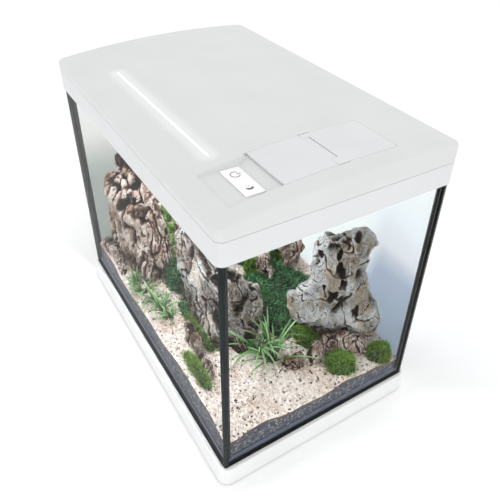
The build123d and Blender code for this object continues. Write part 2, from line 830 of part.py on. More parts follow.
with BuildPart() as cavity:
    add(cavity_block)
    fillet(cavity.edges().filter_by(Axis.Z, tolerance=0.1), radius=lid_corner - hood_wall)
    add(recess_shell, mode=Mode.SUBTRACT)
    add(flap_pad, mode=Mode.SUBTRACT)
    # bosses behind the hinges
    with BuildSketch(Plane.XY.offset(hood_bottom)):
        for x in hinge_spots:
            with Locations((x, (boss_front + lid_half_depth) / 2)):
                Rectangle(2 * boss_half, hinge_boss_depth)
    extrude(amount=3 * hinge_knuckle_radius + hood_wall, mode=Mode.SUBTRACT)
    # bosses for the light bar's screws
    with BuildSketch(Plane.XY.offset(bar_bottom + cap_thickness)):
        with Locations(*screw_spots):
            Circle(screw_boss_radius)
    extrude(amount=hood_middle_rise, mode=Mode.SUBTRACT)

lip_x = lid_half_length - frame_rim - slip
lip_y = lid_half_depth - frame_rim - slip
with BuildPart() as lid_hood:
    add(hood_block.part)
    fillet(lid_hood.edges().filter_by(Axis.Z, tolerance=0.1), radius=lid_corner)
    # every upper edge but the smooth seam between the roll and the arch
    rim = lid_hood.edges().filter_by(lambda edge: edge.bounding_box().min.Z > hood_bottom + hood_edge_round)
    seam = rim.filter_by(Axis.X).filter_by(lambda edge: abs(edge.center().Y - roll_start[0]) < slip)
    fillet(rim - seam, radius=hood_edge_round)
    add(cavity.part, mode=Mode.SUBTRACT)
    # locating lip at the front and the ends, inside the frame's rim
    with BuildSketch(Plane.XY.offset(hood_bottom - hood_lip_drop)):
        RectangleRounded(2 * lip_x, 2 * lip_y, lid_corner - frame_rim)
        RectangleRounded(
            2 * (lip_x - hood_lip_thickness),
            2 * (lip_y - hood_lip_thickness),
            lid_corner - frame_rim - hood_lip_thickness,
            mode=Mode.SUBTRACT,
        )
        with Locations((0, lip_y)):
            Rectangle(lid_length, 4 * hinge_boss_depth, mode=Mode.SUBTRACT)
    extrude(amount=hood_lip_drop + hood_wall)
    with BuildSketch(Plane.XY.offset(hood_bottom)):
        RectangleRounded(lid_length - hood_wall, lid_depth - hood_wall, lid_corner - hood_wall / 2)
        RectangleRounded(
            2 * (lip_x - hood_lip_thickness),
            2 * (lip_y - hood_lip_thickness),
            lid_corner - frame_rim - hood_lip_thickness,
            mode=Mode.SUBTRACT,
        )
        with Locations((0, lip_y)):
            Rectangle(lid_length, 4 * hinge_boss_depth, mode=Mode.SUBTRACT)
    extrude(amount=hood_wall)
    # recess, flap seat and feeding hole
    add(recess_tool.part, mode=Mode.SUBTRACT)
    add(flap_seat, mode=Mode.SUBTRACT)
    add(pivot_groove, mode=Mode.SUBTRACT)
    add(feed_hole, mode=Mode.SUBTRACT)
    with BuildSketch(Plane.XY.offset(flap_pivot_z - flap_knuckle_radius)):
        for edge in (seat_left - relief_width / 2, seat_right + relief_width / 2):
            with Locations((edge, flap_pivot_y)):
                Rectangle(relief_width, relief_length)
    extrude(amount=above, mode=Mode.SUBTRACT)
    # opening for the control key
    with BuildSketch(Plane.XY.offset(recess_floor - hood_skin)):
        with Locations((key_x, key_y)):
            RectangleRounded(key_length + 2 * key_gap, key_width + 2 * key_gap, key_corner + key_gap)
    extrude(amount=hood_skin + key_proud, mode=Mode.SUBTRACT)
    # slot for the glow strip
    with BuildSketch(Plane.XY.offset(bar_top)):
        with Locations(((glow_left + glow_right) / 2, bar_y)):
            SlotOverall(glow_right - glow_left, glow_width)
    extrude(amount=hood_middle_rise, mode=Mode.SUBTRACT)
    # pilot holes for the light bar's screws
    with BuildSketch(Plane.XY.offset(bar_bottom + cap_thickness)):
        with Locations(*screw_spots):
            Circle(screw_radius)
    extrude(amount=screw_pilot_depth, mode=Mode.SUBTRACT)
    # hinge knuckles
    for notch in hood_notches:
        add(notch, mode=Mode.SUBTRACT)
    for ear in hood_lugs:
        add(ear)
    for bore in hood_pin_bores:
        add(bore, mode=Mode.SUBTRACT)
lid_hood.part.label = "lid_hood"
export_step(lid_hood.part, "parts/lid_hood.step")

# =============================================================================
# Flap, fixed plate and hinge pin
# =============================================================================
ear_front = flap_pivot_y - flap_ear_reach
flap_plate = crown_plate(flap_left, flap_right, flap_front, ear_front - flap_gap, 0, flap_thickness)
flap_tongue = crown_plate(
    tongue_left + flap_gap, tongue_right - flap_gap, flap_front, flap_pivot_y, 0, flap_thickness
)
flap_roll = rod_x(
    tongue_left + flap_gap, tongue_right - flap_gap, flap_pivot_y, flap_pivot_z, flap_knuckle_radius
)
flap_bore = rod_x(flap_left, flap_right, flap_pivot_y, flap_pivot_z, flap_pin_radius + running_fit)
with BuildPart() as feed_flap:
    add(flap_plate)
    add(flap_tongue)
    add(flap_roll)
    add(flap_bore, mode=Mode.SUBTRACT)
    fillet(feed_flap.edges().filter_by(Axis.X).group_by(Axis.Y)[0], radius=flap_edge_round)
feed_flap.part.label = "feed_flap"
export_step(feed_flap.part, "parts/feed_flap.step")

deck_plate = crown_plate(flap_left, flap_right, deck_front, deck_back, 0, seat_depth, deck_corner)
left_ear = crown_plate(flap_left, tongue_left, ear_front, deck_front + deck_corner, 0, seat_depth)
right_ear = crown_plate(tongue_right, flap_right, ear_front, deck_front + deck_corner, 0, seat_depth)
flap_pin_hole = rod_x(flap_left, flap_right, flap_pivot_y, flap_pivot_z, flap_pin_radius)
with BuildPart() as flap_deck:
    add(deck_plate)
    add(left_ear)
    add(right_ear)
    add(flap_pin_hole, mode=Mode.SUBTRACT)
flap_deck.part.label = "flap_deck"
export_step(flap_deck.part, "parts/flap_deck.step")

with BuildPart() as flap_pin:
    add(flap_pin_hole)
flap_pin.part.label = "flap_pin"
export_step(flap_pin.part, "parts/flap_pin.step")

# =============================================================================
# Light control: rocking key over two switches
# =============================================================================
key_top = recess_floor + key_proud
key_bottom = key_top - key_thickness
board_bottom = control_floor + control_wall
board_top = board_bottom + board_thickness
switch_top = board_top + switch_height
rib_bottom = switch_top + switch_air
key_pivot_z = key_bottom - key_pin_radius
control_top = recess_floor - hood_skin
post_offset = control_half_y - control_wall - key_post_thickness / 2

with BuildPart() as control_key:
    with BuildSketch(Plane.XY.offset(key_bottom)):
        with Locations((key_x, key_y)):
            RectangleRounded(key_length, key_width, key_corner)
    extrude(amount=key_thickness)
    fillet(control_key.faces().sort_by(Axis.Z)[-1].edges(), radius=key_edge_round)
    with BuildSketch(Plane.XY.offset(rib_bottom)):
        with Locations((key_x - switch_offset, key_y), (key_x + switch_offset, key_y)):
            Rectangle(key_rib_length, key_rib_width)
        with Locations((key_x, key_y)):
            Rectangle(2 * key_rib_length, key_width - key_rib_width)
    extrude(amount=key_bottom - rib_bottom)
    with BuildSketch(Plane.XZ.offset(-key_y - key_width / 2)):
        with Locations((key_x, key_pivot_z)):
            Circle(key_pin_radius + running_fit)
    extrude(amount=key_width, mode=Mode.SUBTRACT)
control_key.part.label = "control_key"
export_step(control_key.part, "parts/control_key.step")

with BuildPart() as control_box:
    with BuildSketch(Plane.XY.offset(control_floor)):
        with Locations((key_x, key_y)):
            RectangleRounded(2 * control_half_x, 2 * control_half_y, key_corner)
    extrude(amount=control_top - control_floor)
    with BuildSketch(Plane.XY.offset(board_bottom)):
        with Locations((key_x, key_y)):
            Rectangle(2 * (control_half_x - control_wall), 2 * (control_half_y - control_wall))
    extrude(amount=control_top - board_bottom, mode=Mode.SUBTRACT)
    # two posts that hold the key's pin, just clear of the key
    with BuildSketch(Plane.XY.offset(board_bottom)):
        for side in (-1, 1):
            with Locations((key_x, key_y + side * post_offset)):
                Rectangle(key_post_length, key_post_thickness)
    extrude(amount=control_top - board_bottom)
    with BuildSketch(Plane.XZ.offset(-key_y - control_half_y + control_wall)):
        with Locations((key_x, key_pivot_z)):
            Circle(key_pin_radius)
    extrude(amount=2 * (control_half_y - control_wall), mode=Mode.SUBTRACT)
control_box.part.label = "control_box"
export_step(control_box.part, "parts/control_box.step")

with BuildPart() as key_pin:
    with BuildSketch(Plane.XZ.offset(-key_y - control_half_y + control_wall)):
        with Locations((key_x, key_pivot_z)):
            Circle(key_pin_radius)
    extrude(amount=2 * (control_half_y - control_wall))
key_pin.part.label = "key_pin"
export_step(key_pin.part, "parts/key_pin.step")

with BuildPart() as control_board:
    with BuildSketch(Plane.XY.offset(board_bottom)):
        with Locations((key_x, key_y)):
            Rectangle(2 * (control_half_x - control_wall) - slip, 2 * (control_half_y - control_wall) - slip)
            for side in (-1, 1):
                with Locations((0, side * post_offset)):
                    Rectangle(key_post_length + slip, key_post_thickness + slip, mode=Mode.SUBTRACT)
    extrude(amount=board_thickness)
control_board.part.label = "control_board"
export_step(control_board.part, "parts/control_board.step")

with BuildPart() as tact_switches:
    with BuildSketch(Plane.XY.offset(board_top)):
        with Locations((key_x - switch_offset, key_y), (key_x + switch_offset, key_y)):
            Rectangle(switch_size, switch_size)
    extrude(amount=switch_height)
tact_switches.part.label = "tact_switches"
export_step(tact_switches.part, "parts/tact_switches.step")

# =============================================================================
# Light bar
# =============================================================================
bar_length = bar_right - bar_left
bar_middle = (bar_left + bar_right) / 2
channel_inside = bar_width - 2 * bar_wall
web_bottom = bar_top - bar_wall
led_top = web_bottom - led_board_thickness
diffuser_top = bar_bottom + diffuser_thickness
glow_length = glow_right - glow_left
glow_middle = (glow_left + glow_right) / 2

with BuildPart() as light_channel:
    with BuildSketch(Plane.XY.offset(bar_bottom)):
        with Locations((bar_middle, bar_y)):
            Rectangle(bar_length, bar_width)
    extrude(amount=bar_height)
    with BuildSketch(Plane.XY.offset(bar_bottom)):
        with Locations((bar_middle, bar_y)):
            Rectangle(bar_length, channel_inside)
    extrude(amount=bar_height - bar_wall, mode=Mode.SUBTRACT)
    with BuildSketch(Plane.XY.offset(web_bottom)):
        with Locations((glow_middle, bar_y)):
            SlotOverall(glow_length, glow_width)
    extrude(amount=bar_wall, mode=Mode.SUBTRACT)
light_channel.part.label = "light_channel"
export_step(light_channel.part, "parts/light_channel.step")

with BuildPart() as led_board:
    with BuildSketch(Plane.XY.offset(led_top)):
        with Locations((bar_middle, bar_y)):
            Rectangle(bar_length - slip, channel_inside - slip)
    extrude(amount=led_board_thickness)
led_board.part.label = "led_board"
export_step(led_board.part, "parts/led_board.step")

led_count = int((bar_length - led_pitch) / led_pitch)
with BuildPart() as led_chips:
    with BuildSketch(Plane.XY.offset(led_top - led_height)):
        with Locations((bar_middle, bar_y)):
            with GridLocations(led_pitch, led_row_pitch, led_count, led_rows):
                Rectangle(led_length, led_width)
    extrude(amount=led_height)
led_chips.part.label = "led_chips"
export_step(led_chips.part, "parts/led_chips.step")

with BuildPart() as light_diffuser:
    with BuildSketch(Plane.XY.offset(bar_bottom)):
        with Locations((bar_middle, bar_y)):
            Rectangle(bar_length, channel_inside)
    extrude(amount=diffuser_thickness)
light_diffuser.part.label = "light_diffuser"
export_step(light_diffuser.part, "parts/light_diffuser.step")

with BuildPart() as light_caps:
    for inner, outer in ((bar_left, cap_outer_left), (bar_right, cap_outer_right)):
        side = 1 if outer > inner else -1
        add(block(min(inner, inner + side * cap_thickness), max(inner, inner + side * cap_thickness),
                  bar_y - bar_width / 2, bar_y + bar_width / 2, bar_bottom, bar_top))
        add(block(min(inner, outer), max(inner, outer),
                  bar_y - bar_width / 2, bar_y + bar_width / 2, bar_bottom, bar_bottom + cap_thickness))
    with BuildSketch(Plane.XY.offset(bar_bottom)):
        with Locations(*screw_spots):
            Circle(screw_radius)
    extrude(amount=cap_thickness, mode=Mode.SUBTRACT)
    with BuildSketch(Plane.XY.offset(bar_bottom)):
        with Locations(*screw_spots):
            Circle(screw_head_radius + slip / 2)
    extrude(amount=screw_head_height, mode=Mode.SUBTRACT)
light_caps.part.label = "light_caps"
export_step(light_caps.part, "parts/light_caps.step")

with BuildPart() as light_screws:
    with BuildSketch(Plane.XY.offset(bar_bottom)):
        with Locations(*screw_spots):
            Circle(screw_head_radius)
    extrude(amount=screw_head_height)
    with BuildSketch(Plane.XY.offset(bar_bottom)):
        with Locations(*screw_spots):
            Circle(screw_radius)
    extrude(amount=cap_thickness + screw_grip)
    with BuildSketch(Plane.XY.offset(bar_bottom)):
        with Locations(*screw_spots):
            RegularPolygon(screw_socket_radius, 6)
    extrude(amount=screw_socket_depth, mode=Mode.SUBTRACT)
light_screws.part.label = "light_screws"
export_step(light_screws.part, "parts/light_screws.step")

glow_limit = crown_block(glow_left, glow_right, bar_y - glow_width, bar_y + glow_width, 0, web_bottom)
with BuildPart() as glow_strip:
    with BuildSketch(Plane.XY.offset(web_bottom)):
        with Locations((glow_middle, bar_y)):
            SlotOverall(glow_length - 2 * glow_fit, glow_width - 2 * glow_fit)
    extrude(amount=hood_middle_rise)
    add(glow_limit, mode=Mode.INTERSECT)
glow_strip.part.label = "glow_strip"
export_step(glow_strip.part, "parts/glow_strip.step")
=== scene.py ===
import math
import random

import bmesh
import bpy
import numpy as np
from mathutils import Matrix, Vector, noise


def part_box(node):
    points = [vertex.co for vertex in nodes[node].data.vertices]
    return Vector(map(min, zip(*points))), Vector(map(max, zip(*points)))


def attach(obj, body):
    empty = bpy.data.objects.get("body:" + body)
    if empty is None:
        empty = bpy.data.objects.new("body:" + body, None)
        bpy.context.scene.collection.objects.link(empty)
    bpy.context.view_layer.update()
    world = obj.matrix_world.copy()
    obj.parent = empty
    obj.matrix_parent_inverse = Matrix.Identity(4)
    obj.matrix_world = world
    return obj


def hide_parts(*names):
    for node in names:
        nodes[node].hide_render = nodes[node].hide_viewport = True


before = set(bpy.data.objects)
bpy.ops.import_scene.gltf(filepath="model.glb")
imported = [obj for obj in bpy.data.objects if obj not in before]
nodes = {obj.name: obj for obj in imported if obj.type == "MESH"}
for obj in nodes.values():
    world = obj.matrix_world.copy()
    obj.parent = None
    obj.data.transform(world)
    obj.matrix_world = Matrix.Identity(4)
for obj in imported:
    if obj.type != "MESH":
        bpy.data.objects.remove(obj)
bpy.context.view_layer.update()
mm = 0.001
print("frame loaded:", len(nodes), "nodes")


# small helpers

def toLinear(hexColour, alpha=1.0):
    channels = [int(hexColour[i:i + 2], 16) / 255 for i in (1, 3, 5)]
    return tuple(c / 12.92 if c <= 0.04045 else ((c + 0.055) / 1.055) ** 2.4 for c in channels) + (alpha,)


def addNode(tree, kind, settings=None, inputs=None):
    # an input is a value, or an output socket to link from
    node = tree.nodes.new(kind)
    for name, value in (settings or {}).items():
        setattr(node, name, value)
    for name, value in (inputs or {}).items():
        socket = node.inputs[name]
        if isinstance(value, bpy.types.NodeSocket):
            tree.links.new(value, socket)
        else:
            socket.default_value = value
    return node


def newMaterial(name):
    material = bpy.data.materials.new(name)
    material.use_nodes = True
    tree = material.node_tree
    tree.nodes.clear()
    output = addNode(tree, "ShaderNodeOutputMaterial")
    return material, tree, output


def finishWith(tree, output, shader):
    tree.links.new(shader.outputs[0], output.inputs["Surface"])


def colourRamp(tree, factor, stops):
    ramp = addNode(tree, "ShaderNodeValToRGB", inputs={"Fac": factor})
    elements = ramp.color_ramp.elements
    while len(elements) < len(stops):
        elements.new(0.5)
    for element, (position, colour) in zip(elements, stops):
        element.position = position
        element.color = toLinear(colour)
    return ramp.outputs["Color"]


def noiseAt(tree, where, size, detail=3.0, roughness=0.55):
    # size is the pattern's real size in mm
    return addNode(tree, "ShaderNodeTexNoise", inputs={
        "Vector": where, "Scale": 1 / (size * mm), "Detail": detail, "Roughness": roughness}).outputs["Fac"]


def bumpFrom(tree, height, depth, strength=1.0):
    # depth in mm
    return addNode(tree, "ShaderNodeBump", inputs={
        "Height": height, "Distance": depth * mm, "Strength": strength}).outputs["Normal"]


def meshPiece(name, verts, faces, materials, slots=None, smooth=True):
    mesh = bpy.data.meshes.new(name)
    mesh.from_pydata([tuple(v) for v in verts], [], [tuple(f) for f in faces])
    for material in materials:
        mesh.materials.append(material)
    if slots is not None:
        mesh.polygons.foreach_set("material_index", slots)
    mesh.polygons.foreach_set("use_smooth", [smooth] * len(mesh.polygons))
    mesh.update()
    piece = bpy.data.objects.new(name, mesh)
    bpy.context.scene.collection.objects.link(piece)
    return piece


# materials

glowSettings = {"inner": 2.0, "outer": 15.0, "strength": 0.1, "core": 1.5}      # half widths in mm


def fromStrip(tree, place):
    # distance to the light strip's middle line, in metres
    low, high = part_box("glow_strip")
    axes = addNode(tree, "ShaderNodeSeparateXYZ", inputs={"Vector": place}).outputs
    held = addNode(tree, "ShaderNodeClamp", inputs={
        "Value": axes["X"], "Min": low.x + 2 * mm, "Max": high.x - 2 * mm}).outputs[0]
    line = addNode(tree, "ShaderNodeCombineXYZ", inputs={"X": held, "Y": (low.y + high.y) / 2}).outputs[0]
    flat = addNode(tree, "ShaderNodeVectorMath", {"operation": "MULTIPLY"}, {0: place, 1: (1, 1, 0)}).outputs[0]
    return addNode(tree, "ShaderNodeVectorMath", {"operation": "DISTANCE"}, {0: flat, 1: line}).outputs["Value"]


def makeMouldedWhiteAbs(name, darker, lighter, litByStrip=False):
    # ABS, injection moulded with a fine spark texture: satin, with a soft broken highlight
    material, tree, output = newMaterial(name)
    place = addNode(tree, "ShaderNodeTexCoord").outputs["Object"]
    cloud = noiseAt(tree, place, 60)
    grain = noiseAt(tree, place, 0.9, detail=2)      # spark grain, drawn coarser than real so that it shows
    colour = colourRamp(tree, cloud, [(0.3, darker), (0.7, lighter)])
    gloss = addNode(tree, "ShaderNodeMapRange", inputs={"Value": grain, "To Min": 0.34, "To Max": 0.46})
    shader = addNode(tree, "ShaderNodeBsdfPrincipled", inputs={
        "Base Color": colour, "Roughness": gloss.outputs[0], "IOR": 1.53,
        "Normal": bumpFrom(tree, grain, 0.02, 0.5)})
    if litByStrip:
        # the light strip glows softly through the thin wall beside it
        halo = addNode(tree, "ShaderNodeMapRange", {"interpolation_type": "SMOOTHERSTEP"}, {
            "Value": fromStrip(tree, place), "From Min": glowSettings["inner"] * mm, "From Max": glowSettings["outer"] * mm,
            "To Min": glowSettings["strength"], "To Max": 0.0}).outputs[0]
        shader.inputs["Emission Color"].default_value = (1, 1, 1, 1)
        tree.links.new(halo, shader.inputs["Emission Strength"])
    finishWith(tree, output, shader)
    return material


def makeLitStrip():
    # opal acrylic light bar: brightest along its middle and fading to the hood's white at its edges
    material, tree, output = newMaterial("litOpalStrip")
    place = addNode(tree, "ShaderNodeTexCoord").outputs["Object"]
    fade = addNode(tree, "ShaderNodeMapRange", {"interpolation_type": "SMOOTHSTEP"}, {
        "Value": fromStrip(tree, place), "From Min": 0.3 * mm, "From Max": glowSettings["core"] * mm,
        "To Min": 1.2, "To Max": glowSettings["strength"]}).outputs[0]
    shader = addNode(tree, "ShaderNodeBsdfPrincipled", inputs={
        "Base Color": toLinear("#DBDDDE"), "Roughness": 0.35, "Emission Color": (1, 1, 1, 1), "Emission Strength": fade,
        "Normal": bumpFrom(tree, noiseAt(tree, place, 4), 0.02, 0.3)})
    finishWith(tree, output, shader)
    return material


def makeGroundEdge():
    # glass edge, ground and bonded with black silicone: nearly black green at the open corner, greyer further off
    material, tree, output = newMaterial("groundGlassEdge")
    place = addNode(tree, "ShaderNodeTexCoord").outputs["Object"]
    low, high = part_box("corner_silicone")
    flat = addNode(tree, "ShaderNodeVectorMath", {"operation": "MULTIPLY"}, {0: place, 1: (1, 1, 0)}).outputs[0]
    away = addNode(tree, "ShaderNodeVectorMath", {"operation": "DISTANCE"}, {0: flat, 1: (high.x, low.y, 0)}).outputs["Value"]
    grain = noiseAt(tree, place, 30)
    mixed = addNode(tree, "ShaderNodeMath", {"operation": "MULTIPLY_ADD"}, {0: away, 1: 2.2, 2: grain}).outputs[0]
    shader = addNode(tree, "ShaderNodeBsdfPrincipled", inputs={
        "Base Color": colourRamp(tree, mixed, [(0.3, "#0A1516"), (0.8, "#1A2B2B"), (1.0, "#646A64")]), "Roughness": 0.4,
        "Specular IOR Level": 0.2, "Normal": bumpFrom(tree, noiseAt(tree, place, 0.8), 0.02, 0.4)})
    finishWith(tree, output, shader)
    return material


def makePolishedWhiteAbs():
    # ABS, polished mould: the key's brighter, glossier face
    material, tree, output = newMaterial("polishedWhiteAbs")
    place = addNode(tree, "ShaderNodeTexCoord").outputs["Object"]
    colour = colourRamp(tree, noiseAt(tree, place, 25), [(0.3, "#F6F6F6"), (0.7, "#FBFBFB")])
    shader = addNode(tree, "ShaderNodeBsdfPrincipled", inputs={
        "Base Color": colour, "Roughness": 0.14, "IOR": 1.53,
        "Normal": bumpFrom(tree, noiseAt(tree, place, 6), 0.02, 0.3)})
    finishWith(tree, output, shader)
    return material


def makeTwoTone(name, dark, light, size, roughness, depth, metallic=0.0, stretch=(1, 1, 1)):
    # a plain moulded, drawn or foamed finish: two close tones, a grain of a real size and its relief
    material, tree, output = newMaterial(name)
    place = addNode(tree, "ShaderNodeTexCoord").outputs["Object"]
    place = addNode(tree, "ShaderNodeMapping", inputs={"Vector": place, "Scale": stretch}).outputs[0]
    grain = noiseAt(tree, place, size)
    shader = addNode(tree, "ShaderNodeBsdfPrincipled", inputs={
        "Base Color": colourRamp(tree, grain, [(0.3, dark), (0.7, light)]),
        "Roughness": roughness, "Metallic": metallic, "Normal": bumpFrom(tree, grain, depth, 0.6)})
    finishWith(tree, output, shader)
    return material


def makeLitOpal(name, colour, strength):
    # opal acrylic lit from behind: an even white with the faintest cloud in it
    material, tree, output = newMaterial(name)
    place = addNode(tree, "ShaderNodeTexCoord").outputs["Object"]
    cloud = addNode(tree, "ShaderNodeMapRange", inputs={
        "Value": noiseAt(tree, place, 12), "To Min": 0.92 * strength, "To Max": strength})
    shader = addNode(tree, "ShaderNodeBsdfPrincipled", inputs={
        "Base Color": toLinear(colour), "Roughness": 0.3, "Emission Color": toLinear(colour),
        "Emission Strength": cloud.outputs[0]})
    finishWith(tree, output, shader)
    return material


def makeFloatGlass(name, tintsAndShade, lessShadeLeftOf=None, mirrorShare=0.3):
    # soda lime float glass: clear faces with a thin sharp reflection; the (height in mm, colour) pairs give the pane
    # its glass tint, and on the back and end panes also painted shade and painted reflection, darker towards the bottom
    material, tree, output = newMaterial(name)
    lowest, highest = tintsAndShade[0][0], tintsAndShade[-1][0]
    place = addNode(tree, "ShaderNodeTexCoord").outputs["Object"]
    height = addNode(tree, "ShaderNodeSeparateXYZ", inputs={"Vector": place}).outputs["Z"]
    rise = addNode(tree, "ShaderNodeMapRange", inputs={
        "Value": height, "From Min": lowest * mm, "From Max": highest * mm}).outputs[0]
    cloud = noiseAt(tree, place, 90, detail=1)
    mixed = addNode(tree, "ShaderNodeMath", {"operation": "MULTIPLY_ADD"}, {0: cloud, 1: 0.14, 2: rise}).outputs[0]
    mixed = addNode(tree, "ShaderNodeMath", {"operation": "SUBTRACT"}, {0: mixed, 1: 0.07}).outputs[0]
    # painted shade: the pane is painted lighter towards the left, from 90 mm right of this X
    if lessShadeLeftOf:
        across = addNode(tree, "ShaderNodeSeparateXYZ", inputs={"Vector": place}).outputs["X"]
        lessShade = addNode(tree, "ShaderNodeMapRange", {"interpolation_type": "SMOOTHSTEP"}, {
            "Value": across, "From Min": lessShadeLeftOf * mm, "From Max": (lessShadeLeftOf + 90) * mm, "To Min": 0.9, "To Max": 0.0})
        mixed = addNode(tree, "ShaderNodeMath", {}, {0: mixed, 1: lessShade.outputs[0]}).outputs[0]
    tint = colourRamp(tree, mixed, [((h - lowest) / (highest - lowest), colour) for h, colour in tintsAndShade])
    # light crosses two faces, so each face carries the square root of the tint
    half = addNode(tree, "ShaderNodeGamma", inputs={"Color": tint, "Gamma": 0.5}).outputs[0]
    clear = addNode(tree, "ShaderNodeBsdfTransparent", inputs={"Color": half})
    mirror = addNode(tree, "ShaderNodeBsdfGlossy", inputs={"Roughness": 0.02})
    edge = addNode(tree, "ShaderNodeFresnel", inputs={"IOR": 1.3}).outputs[0]
    # only the outward faces mirror, so that the pane's inside doesn't trap the light
    inside = addNode(tree, "ShaderNodeNewGeometry").outputs["Backfacing"]
    outside = addNode(tree, "ShaderNodeMath", {"operation": "SUBTRACT"}, {0: 1.0, 1: inside}).outputs[0]
    share = addNode(tree, "ShaderNodeMath", {"operation": "MULTIPLY"}, {0: outside, 1: mirrorShare}).outputs[0]
    gloss = addNode(tree, "ShaderNodeMath", {"operation": "MULTIPLY"}, {0: edge, 1: share}).outputs[0]
    shader = addNode(tree, "ShaderNodeMixShader", inputs={0: gloss, 1: clear.outputs[0], 2: mirror.outputs[0]})
    finishWith(tree, output, shader)
    return material


def makeGravelStone(name, ownTone):
    # crushed quartz gravel: every grain its own cream, pink or grey, with a few nearly black ones
    material, tree, output = newMaterial(name)
    place = addNode(tree, "ShaderNodeTexCoord").outputs["Object"]
    fine = noiseAt(tree, place, 1.2)
    relief = fine
    if ownTone:
        tone = addNode(tree, "ShaderNodeAttribute", {"attribute_name": "grain"}).outputs["Fac"]
    else:
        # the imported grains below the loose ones, 2.4 mm across
        cells = addNode(tree, "ShaderNodeTexVoronoi", inputs={"Vector": place, "Scale": 1 / (2.4 * mm)})
        tone = addNode(tree, "ShaderNodeSeparateColor", inputs={"Color": cells.outputs["Color"]}).outputs[0]
        relief = cells.outputs["Distance"]
    tones = colourRamp(tree, tone, [
        (0.0, "#3A3532"), (0.05, "#7F746D"), (0.09, "#CDC0B6"), (0.3, "#E2D3CA"), (0.65, "#F4EAE3"), (1.0, "#FFFBF8")])
    blotch = colourRamp(tree, noiseAt(tree, place, 45), [(0.45, "#FFFFFF"), (0.72, "#D9BDAA")])
    shade = colourRamp(tree, fine, [(0.3, "#D8D0CA"), (0.6, "#FFFFFF")])
    colour = addNode(tree, "ShaderNodeMix", {"data_type": "RGBA", "blend_type": "MULTIPLY"}, {0: 0.5, 6: tones, 7: shade})
    colour = addNode(tree, "ShaderNodeMix", {"data_type": "RGBA", "blend_type": "MULTIPLY"}, {
        0: 0.6, 6: colour.outputs[2], 7: blotch})
    shader = addNode(tree, "ShaderNodeBsdfPrincipled", inputs={
        "Base Color": colour.outputs[2], "Roughness": 0.75, "Normal": bumpFrom(tree, relief, 0.4)})
    finishWith(tree, output, shader)
    return material


def makeSoil():
    # baked clay planting soil behind glass: slate grains with pale specks and a brown upper fringe
    material, tree, output = newMaterial("bakedClaySoil")
    place = addNode(tree, "ShaderNodeTexCoord").outputs["Object"]
    under = addNode(tree, "ShaderNodeAttribute", {"attribute_name": "under"}).outputs["Fac"]
    cells = addNode(tree, "ShaderNodeTexVoronoi", inputs={"Vector": place, "Scale": 1 / (2.2 * mm)})
    grey = addNode(tree, "ShaderNodeSeparateColor", inputs={"Color": cells.outputs["Color"]}).outputs[0]
    slate = colourRamp(tree, grey, [(0.0, "#3A3C47"), (0.45, "#50525F"), (0.85, "#676977"), (0.97, "#A39D92")])
    wave = noiseAt(tree, place, 9)
    fringe = addNode(tree, "ShaderNodeMath", {"operation": "MULTIPLY_ADD"}, {0: wave, 1: -0.004, 2: under}).outputs[0]
    band = addNode(tree, "ShaderNodeMapRange", inputs={
        "Value": fringe, "From Min": 0.0, "From Max": 0.0016, "To Min": 1.0, "To Max": 0.0}).outputs[0]
    colour = addNode(tree, "ShaderNodeMix", {"data_type": "RGBA"}, {0: band, 6: slate, 7: toLinear("#6B4E3D")})
    shader = addNode(tree, "ShaderNodeBsdfPrincipled", inputs={
        "Base Color": colour.outputs[2], "Roughness": 0.85,
        "Normal": bumpFrom(tree, cells.outputs["Distance"], 0.6)})
    finishWith(tree, output, shader)
    return material


def makeDragonStone(name, tones, stain, stainShare):
    # weathered clay stone: dark brown in its hollows, clefts and foot, where painted shade darkens it, and chalky where
    # its ridges are worn
    material, tree, output = newMaterial(name)
    place = addNode(tree, "ShaderNodeTexCoord").outputs["Object"]
    drawn = addNode(tree, "ShaderNodeMapping", inputs={"Vector": place, "Scale": (1, 1, 0.4)}).outputs[0]
    depth = addNode(tree, "ShaderNodeAttribute", {"attribute_name": "depth"}).outputs["Fac"]
    fine = noiseAt(tree, drawn, 2.6, detail=8, roughness=0.8)
    streak = noiseAt(tree, drawn, 9, detail=5, roughness=0.7)
    mixed = addNode(tree, "ShaderNodeMath", {"operation": "MULTIPLY_ADD"}, {0: fine, 1: 0.9, 2: depth}).outputs[0]
    mixed = addNode(tree, "ShaderNodeMath", {"operation": "MULTIPLY_ADD"}, {0: streak, 1: 0.7, 2: mixed}).outputs[0]
    mixed = addNode(tree, "ShaderNodeMath", {"operation": "SUBTRACT"}, {0: mixed, 1: 0.8}).outputs[0]
    base = colourRamp(tree, mixed, list(zip((0.02, 0.2, 0.36, 0.5, 0.66, 0.84), tones)))
    blotch = colourRamp(tree, noiseAt(tree, drawn, 17, detail=5), [(0.47, "#FFFFFF"), (0.6, stain)])
    colour = addNode(tree, "ShaderNodeMix", {"data_type": "RGBA", "blend_type": "MULTIPLY"}, {
        0: stainShare, 6: base, 7: blotch})
    shader = addNode(tree, "ShaderNodeBsdfPrincipled", inputs={
        "Base Color": colour.outputs[2], "Roughness": 0.85, "Normal": bumpFrom(tree, fine, 3.2, 1.0)})
    finishWith(tree, output, shader)
    return material


